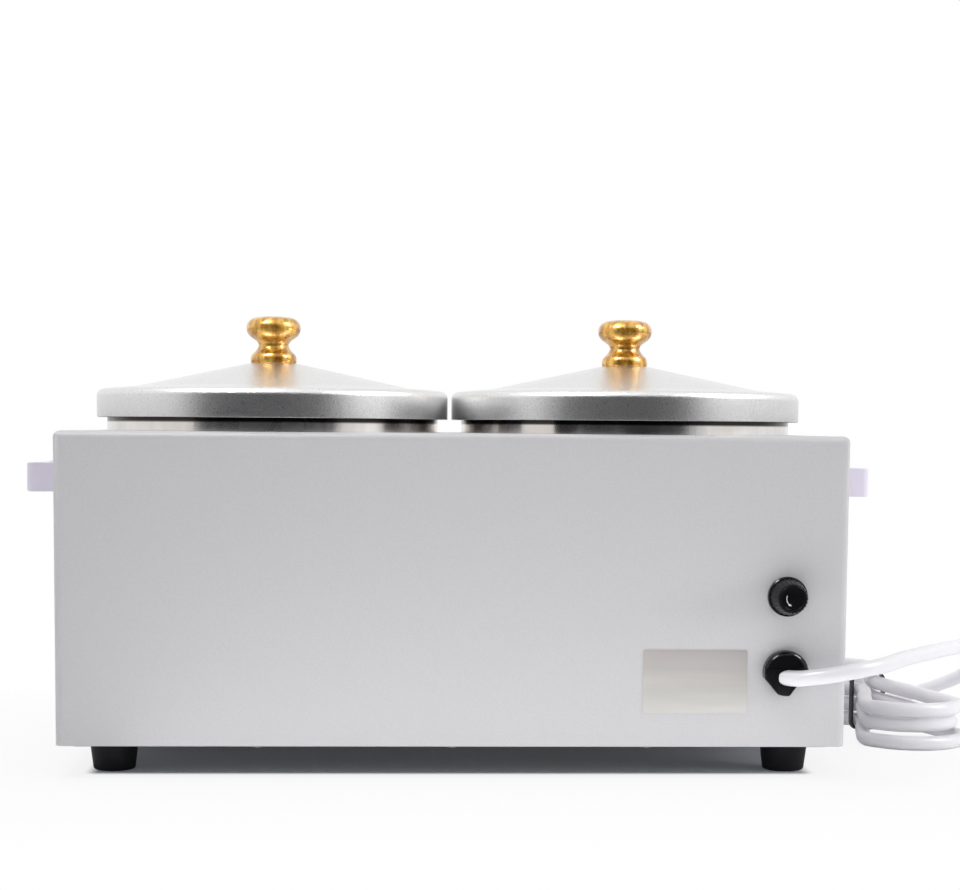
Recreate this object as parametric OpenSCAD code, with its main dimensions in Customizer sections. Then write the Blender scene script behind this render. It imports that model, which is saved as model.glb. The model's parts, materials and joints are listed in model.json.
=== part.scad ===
// Double wax warmer: a folded steel case on rubber feet, two heated wells with a pot and a lid in each,
// a control for each well on the front, and a fuse and a mains cord on the back.
// Millimetres. Z is up, the floor is z = 0, and the origin is under the middle of the case.
// The front with the controls faces -Y, and the back with the cord faces +Y.

/* [Case] */
// Length of the case, end to end
case_l = 366; // [360:1:400]
// Depth of the case, front to back
case_d = 186; // [182:1:220]
// Height of the folded shell
case_h = 144.5; // [140:0.5:170]
// Thickness of the shell's sheet steel
case_t = 1.2; // [0.8:0.1:1.6]
// Outside radius of the shell's bends
case_r = 4; // [3:0.5:6]
// Width of the flange turned in round the shell's foot
flange_w = 14; // [13:0.5:16]
// Thickness of the base plate
base_t = 1; // [0.8:0.1:1.6]
// How far the base plate stops short of the shell all round
base_inset = 5.5; // [4:0.5:6]
// Number of screws along each long edge of the base plate
base_screw_count = 3; // [2:1:5]
// Diameter of the base plate's screws
base_screw_d = 3; // [2.5:0.5:4]

/* [Feet] */
// Height of a foot
foot_h = 14; // [10:0.5:20]
// Diameter of a foot where it meets the base plate
foot_top_d = 23; // [20:0.5:26]
// Diameter of a foot on the floor
foot_floor_d = 19.5; // [17:0.5:20]
// Distance from a foot's centre to the end of the case
foot_end = 23.5; // [20:0.5:30]
// Distance from a foot's centre to the front or back of the case
foot_side = 28; // [26:0.5:34]
// Diameter of a foot's screw
foot_screw_d = 4; // [3:0.5:5]

/* [Wells] */
// Least distance from a collar to the front and back of the case
collar_side = 11; // [11:0.5:20]
// Least distance from a collar to the case's end
collar_end = 13; // [13:0.5:20]
// Distance between the two collars
collar_apart = 12; // [12:0.5:20]
// Height of the collar above the case
collar_h = 16.5; // [14:0.5:20]
// Width of the collar's flat seat
collar_w = 1.6; // [1.4:0.1:2.4]
// How far the well below is smaller than its collar, all round
well_step = 4.5; // [4:0.1:5]
// Thickness of the well's wall
well_t = 1.5; // [1:0.1:2]
// Depth of the well below the collar's seat
well_depth = 90; // [88:1:94]
// Width of the well's fixing flange under the case's top
well_flange_w = 4.8; // [4:0.1:5.2]

/* [Pots] */
// Gap between a pot's wall and its well's outside
pot_side = 4; // [3.4:0.1:7]
// Thickness of a pot's wall
pot_t = 1.6; // [1:0.1:2]
// Depth of a pot below its rim
pot_depth = 86; // [60:1:87]
// Radius inside the corner of a pot's floor
pot_corner = 9; // [4:1:14]
// Radius of the rolled bead on a pot's rim
bead_r = 1.3; // [1:0.1:1.4]

/* [Lids] */
// Thickness of a lid
lid_t = 1.2; // [0.9:0.1:1.4]
// Height of a lid's straight rim, from its lower edge to its shoulder
lid_rim_h = 10; // [7:0.5:13]
// Outside radius of a lid's shoulder
lid_shoulder_r = 3.6; // [3:0.1:4.5]
// Width of a lid's flat brim, out to its rim
lid_brim_w = 20; // [16:0.5:24]
// Rise of the brim from the shoulder to the cone
lid_brim_rise = 1.8; // [1:0.1:3]
// Rise of the cone from the brim to the knob
lid_cone_rise = 11.9; // [9:0.1:16]

/* [Knobs] */
// Height of a lid's knob
knob_h = 23.2; // [20:0.1:28]
// Radius of a knob's base
knob_base_r = 11.5; // [10.5:0.1:13]
// Thickness of a knob's base
knob_base_h = 1.3; // [1:0.1:2]
// Radius of the bead above a knob's base
knob_bead_r = 9.9; // [9:0.1:10.4]
// Radius of a knob's neck
knob_neck_r = 7.5; // [6.5:0.1:8.4]
// Radius of a knob's head
knob_head_r = 13.6; // [12:0.1:15]
// Diameter of a knob's screw
knob_screw_d = 4; // [3:0.5:4.5]

/* [Handles] */
// Length of a handle along the end of the case
handle_l = 88; // [84:1:120]
// How far a handle stands out from the case
handle_out = 20.3; // [19:0.1:36]
// Height of a handle's section
handle_h = 13.8; // [12:0.1:18]
// Thickness of a handle's grip
handle_grip = 7; // [6:0.5:9]
// Width of each of a handle's two legs
handle_leg = 14; // [13:0.5:20]
// Distance from the case's top to a handle's middle
handle_drop = 22.5; // [20:0.5:30]
// Radius of a handle's outer corners
handle_corner = 3; // [2:0.5:6]
// Radius of the long edges of a handle's grip
handle_edge = 1.5; // [1:0.5:3]
// Diameter of a handle's screws
handle_screw_d = 4; // [3:0.5:5]

/* [Controls] */
// Height of the controls' centres above the case's foot
control_h = 35; // [32:0.5:40]
// Diameter of a dial's skirt
dial_d = 40; // [34:0.5:46]
// Diameter of a dial's grip
dial_grip_d = 30; // [24:0.5:32]
// How far a dial stands out from the case
dial_out = 15; // [15:0.5:22]
// Thickness of a dial's skirt
dial_skirt_h = 3; // [2:0.1:4]
// Diameter of a thermostat's shaft
shaft_d = 6; // [5:0.1:7]
// Width and height of a thermostat
thermostat_w = 34; // [30:0.5:38]
// Depth of a thermostat
thermostat_depth = 26; // [22:0.5:30]
// Distance between a thermostat's two screws
thermostat_screw_pitch = 28; // [26:0.5:29]
// Distance from a pilot lamp's centre to the middle of the case
lamp_x = 36; // [30:0.5:45]
// Diameter of a pilot lamp's bezel
lamp_d = 13; // [12:0.5:16]
// Diameter of a pilot lamp's lens
lamp_lens_d = 9.4; // [8:0.1:10]
// How far a pilot lamp stands out from the case
lamp_out = 4; // [3:0.1:6]

/* [Fuse] */
// Distance from the fuse's axis to the end of the case
fuse_end = 28.6; // [26:0.1:34]
// Height of the fuse's axis above the case's foot
fuse_h = 70.4; // [68:0.1:80]
// Diameter of the fuse holder's flange
fuse_flange_d = 18.5; // [18:0.1:22]
// Thickness of the fuse holder's flange
fuse_flange_t = 2.4; // [1.5:0.1:3]
// Diameter of the fuse cap at its wide end
fuse_cap_d = 17.4; // [16.6:0.1:17.8]
// Diameter of the fuse cap's end face
fuse_cap_end_d = 11.8; // [11:0.1:13]
// How far the fuse cap stands out from the case
fuse_out = 15; // [14:0.5:18]
// Number of ribs round the fuse cap
fuse_rib_count = 24; // [16:1:30]
// Outside diameter of the fuse holder's barrel
fuse_barrel_d = 12.6; // [12.4:0.1:14]
// Length of the barrel behind the case's wall
fuse_barrel_l = 30; // [29:0.5:34]
// Diameter of the glass fuse
fuse_d = 5.2; // [5:0.1:5.4]
// Length of the glass fuse
fuse_l = 20; // [18:0.5:21]

/* [Cord] */
// Diameter of the mains cord
cord_d = 7.4; // [6.8:0.1:7.6]
// Distance from the cord bush's centre to the end of the case
bush_end = 29; // [27:0.5:34]
// Height of the cord bush's centre above the case's foot
bush_h = 35; // [33:0.5:38]
// Diameter of the cord bush's head
bush_d = 21; // [20:0.5:24]
// Thickness of the bush's head
bush_head_t = 6.5; // [5:0.5:8]
// Diameter of the bush's neck in the case's wall
bush_neck_d = 15.6; // [14:0.1:17]
// How far the bush turns the cord aside from straight out of the case, in degrees
bush_turn = 50; // [40:1:60]

/* [Label] */
// Length of the rating plate
plate_l = 48.5; // [40:0.5:50]
// Height of the rating plate
plate_h = 29.5; // [24:0.5:32]
// Thickness of the rating plate
plate_t = 0.3; // [0.2:0.1:0.6]
// Distance from the plate's middle to the end of the case
plate_end = 70.9; // [68:0.1:90]
// Height of the plate's middle above the case's foot
plate_up = 30.5; // [24:0.5:40]

/* [Clearances] */
// Gap round a screw or bush in its hole
hole_gap = 0.2; // [0.1:0.05:0.3]
// Gap between pieces that turn or lift apart
free_gap = 0.3; // [0.2:0.05:0.4]
// Gap between a shaft and its bush
shaft_gap = 0.05; // [0.02:0.01:0.08]
// Gap between a lid's rim and the pot's rim inside it
lid_gap = 0.9; // [0.6:0.1:0.9]

/* [Hidden] */
$fn = 64;

LEFT = -1;
RIGHT = 1;

// Heights
base_z = foot_h;
case_z = foot_h + base_t;
case_top = case_z + case_h;
seat_z = case_top + collar_h;
well_floor_z = seat_z - well_depth;
handle_z = case_top - handle_drop;
control_z = case_z + control_h;
fuse_z = case_z + fuse_h;
bush_z = case_z + bush_h;

// Faces and centres of the case
end_x = case_l / 2;
back_y = case_d / 2;
front_y = -case_d / 2;
inner_front_y = front_y + case_t;
foot_x = end_x - foot_end;
foot_y = back_y - foot_side;
fuse_x = LEFT * (end_x - fuse_end);
bush_x = LEFT * (end_x - bush_end);
plate_x = LEFT * (end_x - plate_end);

// Wells as large as the case takes, and what stands in them
collar_d = min(case_d - 2 * collar_side, case_l / 2 - collar_end - collar_apart / 2);
well_pitch = collar_d + collar_apart;
well_d = collar_d - 2 * well_step;
pot_d = well_d - 2 * pot_side;

// A point on a circle about c, and a run of them from angle a to angle b
function on_arc(c, r, a) = c + r * [cos(a), sin(a)];
function arc(c, r, a, b, n = 6) = [for (i = [0 : n]) on_arc(c, r, a + (b - a) * i / n)];

function unit(v) = v / norm(v);
function mix(a, b, t) = a + (b - a) * t;
function ease(t) = (1 - cos(180 * t)) / 2;
function running_sum(v, i = 0) = i < len(v) ? v[i] + running_sum(v, i + 1) : 0;
function path_length(p) = running_sum([for (i = [1 : len(p) - 1]) norm(p[i] - p[i - 1])]);

// A tube of radius r swept along the points p, with round ends square to the path
function tangent(p, i) = i == 0 ? unit(p[1] - p[0])
    : i == len(p) - 1 ? unit(p[i] - p[i - 1])
    : unit(unit(p[i] - p[i - 1]) + unit(p[i + 1] - p[i]));
function carried(n, t) = unit(n - (n * t) * t);
function side_vectors(p, n, i = 0) = i == len(p) ? []
    : let (s = carried(n, tangent(p, i))) concat([s], side_vectors(p, s, i + 1));
function tube_ring(c, s, t, r, sides) =
    [for (k = [0 : sides - 1]) c + r * (cos(360 * k / sides) * s + sin(360 * k / sides) * cross(t, s))];
function tube_points(p, r, sides, n) =
    let (s = side_vectors(p, n))
    [for (i = [0 : len(p) - 1]) each tube_ring(p[i], s[i], tangent(p, i), r, sides)];
function tube_faces(rings, sides) = concat(
    [for (k = [1 : sides - 2]) [0, k, k + 1]],
    [for (i = [0 : rings - 2], k = [0 : sides - 1], half = [0, 1])
        let (a = i * sides + k, b = i * sides + (k + 1) % sides)
        half == 0 ? [a, a + sides, b] : [b, a + sides, b + sides]],
    [for (k = [1 : sides - 2]) let (o = (rings - 1) * sides) [o, o + k + 1, o + k]]);
module tube(p, r, sides = 8, n = [0, 0, 1]) {
    polyhedron(points = tube_points(p, r, sides, n), faces = tube_faces(len(p), sides));
}

// A rectangle with round corners
module rounded(l, d, r) {
    square([l - 2 * r, d], center = true);
    square([l, d - 2 * r], center = true);
    for (x = [-1, 1], y = [-1, 1]) {
        translate([x * (l / 2 - r), y * (d / 2 - r)]) circle(r);
    }
}

// A block's outline seen from one side, round at the top only
module arched(l, h, r) {
    translate([-l / 2, 0]) square([l, h - r]);
    translate([-l / 2 + r, 0]) square([l - 2 * r, h]);
    for (x = [-1, 1]) {
        translate([x * (l / 2 - r), h - r]) circle(r);
    }
}

// A block with round upright edges and a round edge about its top
module folded_block(l, d, h, r) {
    intersection() {
        linear_extrude(h) rounded(l, d, r);
        translate([0, d, 0]) rotate([90, 0, 0]) linear_extrude(2 * d) arched(l, h, r);
        translate([-l, 0, 0]) rotate([90, 0, 90]) linear_extrude(2 * l) arched(d, h, r);
    }
}

// A pan-head screw: its head rests on z = 0 below, and its shank runs up
module pan_screw(d, l, head_h) {
    head_d = 2 * d;
    translate([0, 0, -head_h]) difference() {
        cylinder(d1 = 0.8 * head_d, d2 = head_d, h = head_h);
        for (a = [0, 90]) {
            rotate([0, 0, a]) translate([-d / 2, -d / 10, -1]) cube([d, d / 5, 1 + head_h / 2]);
        }
    }
    cylinder(d = d, h = l);
}

// A hexagon nut of bore d on z = 0
module hex_nut(d, w, h) {
    difference() {
        cylinder(d = w / cos(30), h = h, $fn = 6);
        translate([0, 0, -1]) cylinder(d = d, h = h + 2);
    }
}

// Where the base plate's screws stand: in the strip where plate and flange lie together
base_screw_y = back_y - (flange_w + base_inset) / 2;
base_screw_x = [for (i = [0 : base_screw_count - 1]) (foot_x - foot_top_d) * (2 * (i + 0.5) / base_screw_count - 1)];
base_screw_l = 6;
base_screw_head = 0.8;

module at_base_screws() {
    for (x = base_screw_x, s = [-1, 1]) {
        translate([x, s * base_screw_y, 0]) children();
    }
}

module at_feet() {
    for (x = [LEFT, RIGHT], y = [-1, 1]) {
        translate([x * foot_x, y * foot_y, 0]) children();
    }
}

// Local Z points out of the case's front or back face
module on_front(x, z) {
    translate([x, front_y, z]) rotate([90, 0, 0]) children();
}
module on_back(x, z) {
    translate([x, back_y, z]) rotate([-90, 0, 0]) children();
}

// Local X points out of the case's end, at the height of a handle
module on_end(side) {
    translate([side * end_x, 0, handle_z]) rotate([0, 0, side == RIGHT ? 0 : 180]) children();
}
handle_screw_y = (handle_l - handle_leg) / 2;
handle_screw_l = 12;
handle_screw_head = 2.4;

module at_thermostat_screws(x) {
    for (s = [-1, 1]) {
        on_front(x + s * thermostat_screw_pitch / 2, control_z) children();
    }
}
thermostat_screw_d = 3.5;
thermostat_screw_l = 6;
thermostat_neck_d = 10;
lamp_barrel_d = lamp_lens_d + 0.6;
lamp_barrel_l = 20;

// The folded shell: four sides and a top, with a flange turned in round its foot
module housing() {
    color("whitesmoke") difference() {
        translate([0, 0, case_z]) folded_block(case_l, case_d, case_h, case_r);
        translate([0, 0, case_z + case_t])
            folded_block(case_l - 2 * case_t, case_d - 2 * case_t, case_h - 2 * case_t, case_r - case_t);
        translate([0, 0, case_z - 1])
            linear_extrude(case_t + 2) rounded(case_l - 2 * flange_w, case_d - 2 * flange_w, case_r);
        for (side = [LEFT, RIGHT]) {
            translate([side * well_pitch / 2, 0, case_top - case_t - 1])
                cylinder(d = collar_d + 2 * hole_gap, h = case_t + 2);
            on_front(side * well_pitch / 2, control_z)
                translate([0, 0, -case_t - 1]) cylinder(d = thermostat_neck_d + 2 * hole_gap, h = case_t + 2);
            at_thermostat_screws(side * well_pitch / 2)
                translate([0, 0, -case_t - 1]) cylinder(d = thermostat_screw_d + 2 * hole_gap, h = case_t + 2);
            on_front(side * lamp_x, control_z)
                translate([0, 0, -case_t - 1]) cylinder(d = lamp_barrel_d + 2 * hole_gap, h = case_t + 2);
            on_end(side) for (y = [-1, 1]) {
                translate([-case_t - 1, y * handle_screw_y, 0]) rotate([0, 90, 0])
                    cylinder(d = handle_screw_d + 2 * hole_gap, h = case_t + 2);
            }
        }
        on_back(fuse_x, fuse_z)
            translate([0, 0, -case_t - 1]) cylinder(d = fuse_barrel_d + 2 * hole_gap, h = case_t + 2);
        on_back(bush_x, bush_z)
            translate([0, 0, -case_t - 1]) cylinder(d = bush_neck_d + 2 * hole_gap, h = case_t + 2);
        at_base_screws() translate([0, 0, case_z - 1])
            cylinder(d = base_screw_d + 2 * shaft_gap, h = case_t + 2);
    }
}

// The plate that closes the shell from below and carries the feet
module base_plate() {
    color("gainsboro") difference() {
        translate([0, 0, base_z])
            linear_extrude(base_t) rounded(case_l - 2 * base_inset, case_d - 2 * base_inset, case_r);
        at_base_screws() translate([0, 0, base_z - 1])
            cylinder(d = base_screw_d + 2 * hole_gap, h = base_t + 2);
        at_feet() translate([0, 0, base_z - 1])
            cylinder(d = foot_screw_d + 2 * hole_gap, h = base_t + 2);
    }
}

module base_screws() {
    color("silver") at_base_screws() translate([0, 0, base_z])
        pan_screw(base_screw_d, base_screw_l, base_screw_head);
}

// A tapered rubber foot with a deep hole below for its screw's head
foot_seat_z = 6;
foot_hole_d = 2.4 * foot_screw_d;
foot_edge_r = 1.5;
module foot(side, end) {
    floor_r = foot_floor_d / 2;
    color([0.1, 0.1, 0.1]) translate([side * foot_x, end * foot_y, 0])
        rotate_extrude() polygon(concat(
            [[foot_hole_d / 2, 0]],
            arc([floor_r - foot_edge_r, foot_edge_r], foot_edge_r, -90, 0),
            [[foot_top_d / 2, foot_h], [foot_screw_d / 2 + hole_gap, foot_h],
             [foot_screw_d / 2 + hole_gap, foot_seat_z], [foot_hole_d / 2, foot_seat_z]]));
}

foot_nut_h = 3.2;
foot_screw_head = 2.6;
module foot_screws() {
    color("silver") at_feet() translate([0, 0, foot_seat_z])
        pan_screw(foot_screw_d, case_z + foot_nut_h + 1.5 - foot_seat_z, foot_screw_head);
}

module foot_nuts() {
    color("silver") at_feet() translate([0, 0, case_z])
        hex_nut(foot_screw_d + 2 * shaft_gap, 1.75 * foot_screw_d, foot_nut_h);
}

// A heated well: a cup with a shoulder that lies under the case's top and a collar that stands above it
well_corner = 6;
module well(side) {
    collar_r = collar_d / 2;
    outer_r = well_d / 2;
    inner_r = outer_r - well_t;
    shoulder_z = case_top - case_t;
    color("silver") translate([side * well_pitch / 2, 0, 0]) rotate_extrude() polygon(concat(
        [[0, well_floor_z - well_t]],
        arc([outer_r - well_corner, well_floor_z - well_t + well_corner], well_corner, -90, 0),
        [[outer_r, shoulder_z - well_t], [collar_r + well_flange_w, shoulder_z - well_t],
         [collar_r + well_flange_w, shoulder_z], [collar_r, shoulder_z], [collar_r, seat_z],
         [collar_r - collar_w, seat_z], [collar_r - collar_w, shoulder_z], [inner_r, shoulder_z]],
        arc([outer_r - well_corner, well_floor_z - well_t + well_corner], well_corner - well_t, 0, -90),
        [[0, well_floor_z]]));
}

// The heater: a split band clamped round the well, open towards the case's front corner
band_t = 2.4;
band_h = 30;
band_up = 13;
band_split = 6;
lug_t = 1.5;
lug_out = 10;
lug_h = 12;
band_gap = 0.1;
band_screw_d = 4;
stud_turn = 16;
stud_d = 4;
stud_out = 5;
band_z = well_floor_z + band_up;
band_inner_r = well_d / 2 + band_gap;
band_outer_r = band_inner_r + band_t;
lug_screw_r = band_outer_r + lug_out - band_screw_d;

// Local X points from the well's middle to the case's front corner
module at_band(side) {
    translate([side * well_pitch / 2, 0, band_z]) rotate([0, 0, side == RIGHT ? -45 : -135]) children();
}

module heater_band(side) {
    color("gray") at_band(side) difference() {
        union() {
            cylinder(r = band_outer_r, h = band_h);
            translate([0, -band_split / 2 - lug_t, (band_h - lug_h) / 2])
                cube([band_outer_r + lug_out, band_split + 2 * lug_t, lug_h]);
            for (s = [-1, 1]) {
                rotate([0, 0, s * stud_turn]) translate([band_inner_r + 1, 0, band_h - stud_d])
                    rotate([0, 90, 0]) cylinder(d = stud_d, h = band_t + stud_out - 1);
            }
        }
        translate([0, 0, -1]) cylinder(r = band_inner_r, h = band_h + 2);
        translate([0, -band_split / 2, -1]) cube([2 * band_outer_r, band_split, band_h + 2]);
        translate([lug_screw_r, band_split, band_h / 2]) rotate([90, 0, 0])
            cylinder(d = band_screw_d + 2 * hole_gap, h = 2 * band_split);
    }
}

// One screw through each band's two lugs, with its nut
module band_screws() {
    nut_h = 3;
    half = band_split / 2 + lug_t;
    color("silver") for (side = [LEFT, RIGHT]) {
        at_band(side) translate([lug_screw_r, half, band_h / 2]) rotate([90, 0, 0]) {
            pan_screw(band_screw_d, 2 * half + nut_h + 1, 2.4);
            translate([0, 0, 2 * half]) cylinder(d = 2 * band_screw_d, h = nut_h, $fn = 6);
        }
    }
}

// A wrap of fibre felt round the band, left open over the band's lugs and studs
insulation_gap = 0.6;
insulation_t = 5.5;
insulation_h = 52;
insulation_open = 27;
module insulation(side) {
    inner_r = band_outer_r + insulation_gap;
    reach = 2 * inner_r;
    color("ivory") at_band(side) translate([0, 0, -2]) difference() {
        cylinder(r = inner_r + insulation_t, h = insulation_h);
        translate([0, 0, -1]) cylinder(r = inner_r, h = insulation_h + 2);
        translate([0, 0, -1]) linear_extrude(insulation_h + 2) polygon(
            [[0, 0], [reach, -reach * tan(insulation_open)], [reach, reach * tan(insulation_open)]]);
    }
}

// A lift-out pot: a straight cup whose rim lies on the collar and ends in a rolled bead
rim_z = seat_z + pot_t;
bead_c = [collar_d / 2 + free_gap + bead_r, seat_z + pot_t / 2];
module pot(side) {
    outer_r = pot_d / 2;
    inner_r = outer_r - pot_t;
    floor_z = rim_z - pot_depth;
    corner_c = [inner_r - pot_corner, floor_z + pot_corner];
    color("lightgray") translate([side * well_pitch / 2, 0, 0]) rotate_extrude() union() {
        polygon(concat(
            [[0, floor_z - pot_t]],
            arc(corner_c, pot_corner + pot_t, -90, 0),
            [[outer_r, seat_z], [bead_c[0], seat_z], [bead_c[0], rim_z], [inner_r, rim_z]],
            arc(corner_c, pot_corner, 0, -90),
            [[0, floor_z]]));
        translate(bead_c) circle(bead_r, $fn = 32);
    }
}

// A pressed lid: its rim hangs round the pot's bead, and its brim turns up into a low cone
lid_r = bead_c[0] + bead_r + lid_gap + lid_t;
lid_shoulder_z = bead_c[1] + bead_r + free_gap - (lid_shoulder_r - lid_t);
lid_lip_z = lid_shoulder_z - lid_rim_h;
lid_brim_r = lid_r - lid_brim_w;
lid_brim_z = lid_shoulder_z + lid_shoulder_r + lid_brim_rise;
lid_top_z = lid_brim_z + lid_cone_rise;
module lid(side) {
    shoulder_c = [lid_r - lid_shoulder_r, lid_shoulder_z];
    color("silver") translate([side * well_pitch / 2, 0, 0]) difference() {
        rotate_extrude() polygon(concat(
            [[lid_r - lid_t, lid_lip_z], [lid_r, lid_lip_z]],
            arc(shoulder_c, lid_shoulder_r, 0, 90),
            [[lid_brim_r, lid_brim_z], [knob_base_r, lid_top_z], [0, lid_top_z],
             [0, lid_top_z - lid_t], [knob_base_r, lid_top_z - lid_t], [lid_brim_r, lid_brim_z - lid_t]],
            arc(shoulder_c, lid_shoulder_r - lid_t, 90, 0)));
        translate([0, 0, lid_top_z - lid_t - 1]) cylinder(d = knob_screw_d + 2 * hole_gap, h = lid_t + 2);
    }
}

// A turned knob: a flat base, a cove, a bead, a waisted neck and a bun-shaped head
knob_bead_w = 1.2;
knob_cove = 1.6;
knob_head_low = 5.6;
knob_head_high = 6.8;
knob_top_flat = 3;
knob_screw_l = 10;
function oval(c, a, b, from, to, n = 8) =
    [for (i = [0 : n]) let (t = from + (to - from) * i / n) c + [a * cos(t), b * sin(t)]];
function knob_profile() =
    let (
        cove_z = knob_base_h + knob_cove,
        bead_mid = [knob_bead_r - knob_bead_w, cove_z + knob_bead_w],
        neck_z = bead_mid[1] + 2 * knob_bead_w + 1,
        head_mid = [0, knob_h - knob_head_high],
        under = [for (i = [0 : 5]) let (t = i / 5)
            [mix(bead_mid[0], knob_neck_r, sin(90 * t)), mix(bead_mid[1] + knob_bead_w, neck_z, t)]],
        head = concat(oval(head_mid, knob_head_r, knob_head_low, -50, 0),
                      oval(head_mid, knob_head_r, knob_head_high, 8, 77)),
        throat = [for (i = [1 : 3]) let (t = i / 4)
            [mix(knob_neck_r, head[0][0], 1 - cos(90 * t)), mix(neck_z, head[0][1], t)]])
    concat(
        [[0, 0], [knob_base_r, 0], [knob_base_r, knob_base_h]],
        [for (i = [0 : 3]) let (t = i / 3)
            [mix(knob_base_r - 0.5, bead_mid[0], sin(90 * t)), mix(knob_base_h, cove_z, t)]],
        arc(bead_mid, knob_bead_w, -60, 60),
        under, throat, head,
        [[knob_top_flat, knob_h], [0, knob_h]]);
module lid_knob(side) {
    color("goldenrod") translate([side * well_pitch / 2, 0, lid_top_z]) difference() {
        rotate_extrude() polygon(knob_profile());
        translate([0, 0, -1]) cylinder(d = knob_screw_d + 2 * shaft_gap, h = knob_screw_l + 2);
    }
}

module knob_screw(side) {
    color("silver") translate([side * well_pitch / 2, 0, lid_top_z - lid_t])
        pan_screw(knob_screw_d, lid_t + knob_screw_l, 2.4);
}

// A moulded bracket handle: a grip on two legs, screwed on from inside the case
handle_gap_corner = 3;
module handle(side) {
    color("lavender") on_end(side) difference() {
        intersection() {
            translate([0, 0, -handle_h / 2]) linear_extrude(handle_h) rotate(-90) difference() {
                arched(handle_l, handle_out, handle_corner);
                translate([0, -1])
                    arched(handle_l - 2 * handle_leg, handle_out - handle_grip + 1, handle_gap_corner);
            }
            rotate([90, 0, 0]) linear_extrude(2 * handle_l, center = true) rotate(-90)
                arched(handle_h, handle_out, handle_edge);
        }
        for (y = [-1, 1]) {
            translate([-1, y * handle_screw_y, 0]) rotate([0, 90, 0])
                cylinder(d = handle_screw_d + 2 * shaft_gap, h = handle_screw_l + 2);
        }
    }
}

module handle_screws() {
    color("silver") for (side = [LEFT, RIGHT], y = [-1, 1]) {
        on_end(side) translate([-case_t, y * handle_screw_y, 0]) rotate([0, 90, 0])
            pan_screw(handle_screw_d, case_t + handle_screw_l, handle_screw_head);
    }
}

// The thermostat behind each dial: a block held by two screws, with a neck in the case's wall
thermostat_corner = 4;
thermostat_neck_l = 4;
thermostat_bore_l = 14;
tab_w = 6.3;
tab_t = 0.8;
tab_l = 7;
tab_spread = 9;
module thermostat(side) {
    color("tan") on_front(side * well_pitch / 2, control_z) difference() {
        union() {
            translate([0, 0, -case_t - thermostat_depth])
                linear_extrude(thermostat_depth) rounded(thermostat_w, thermostat_w, thermostat_corner);
            translate([0, 0, -thermostat_neck_l]) cylinder(d = thermostat_neck_d, h = thermostat_neck_l);
            for (s = [-1, 1]) {
                translate([s * tab_spread - tab_w / 2, 0, -case_t - thermostat_depth - tab_l])
                    cube([tab_w, tab_t, tab_l + 1]);
            }
        }
        translate([0, 0, -thermostat_bore_l])
            cylinder(d = shaft_d + 2 * shaft_gap, h = thermostat_bore_l + 1);
        for (s = [-1, 1]) {
            translate([s * thermostat_screw_pitch / 2, 0, -thermostat_screw_l - 1])
                cylinder(d = thermostat_screw_d + 2 * shaft_gap, h = thermostat_screw_l + 1);
        }
    }
}

// Two screws hold each thermostat from outside, under its dial's hollow skirt
module thermostat_screws() {
    color("silver") for (side = [LEFT, RIGHT]) {
        at_thermostat_screws(side * well_pitch / 2) mirror([0, 0, 1])
            pan_screw(thermostat_screw_d, thermostat_screw_l, thermostat_screw_head);
    }
}
thermostat_screw_head = 2.2;

// The shaft turns in the thermostat, and its flat drives the dial
shaft_flat = 0.25 * shaft_d;
shaft_in = 12;
dial_wall = 3;
module shaft_section(d) {
    difference() {
        circle(d = d);
        translate([-d, d / 2 - shaft_flat]) square([2 * d, d]);
    }
}
module thermostat_shaft(side) {
    color("darkgray") on_front(side * well_pitch / 2, control_z) {
        translate([0, 0, -shaft_in]) cylinder(d = shaft_d, h = shaft_in + free_gap);
        translate([0, 0, free_gap]) linear_extrude(dial_out - dial_wall - free_gap) shaft_section(shaft_d);
    }
}

// A pushed-on dial: a hollow skirt, a fluted grip and a groove that points to its setting
dial_rim = 1.5;
dial_hollow = 3.4;
dial_hub_r = 6;
dial_edge_r = 1.5;
flute_count = 18;
flute_r = 1.6;
pointer_w = 1.6;
pointer_deep = 0.6;
module dial(side) {
    skirt_r = dial_d / 2;
    grip_r = dial_grip_d / 2;
    skirt_z = free_gap + dial_skirt_h;
    color([0.12, 0.12, 0.12]) on_front(side * well_pitch / 2, control_z) difference() {
        rotate_extrude() polygon(concat(
            [[0, free_gap], [dial_hub_r, free_gap], [dial_hub_r, free_gap + dial_hollow],
             [skirt_r - dial_rim, free_gap + dial_hollow - 1], [skirt_r - dial_rim, free_gap], [skirt_r, free_gap],
             [skirt_r, skirt_z - 1], [skirt_r - 1.5, skirt_z]],
            arc([grip_r + 2, skirt_z + 2], 2, -90, -180, 4),
            arc([grip_r - 0.5 - dial_edge_r, dial_out - dial_edge_r], dial_edge_r, 0, 90, 4),
            [[0, dial_out]]));
        translate([0, 0, free_gap - 1])
            linear_extrude(dial_out - dial_wall - free_gap + 1) shaft_section(shaft_d + 2 * shaft_gap);
        for (i = [0 : flute_count - 1]) {
            rotate([0, 0, 360 * (i + 0.5) / flute_count])
                translate([grip_r + flute_r - 0.9, 0, skirt_z + 1]) cylinder(r = flute_r, h = dial_out);
        }
        translate([-pointer_w / 2, 0, dial_out - pointer_deep]) cube([pointer_w, grip_r + 1, 1]);
    }
}

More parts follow.
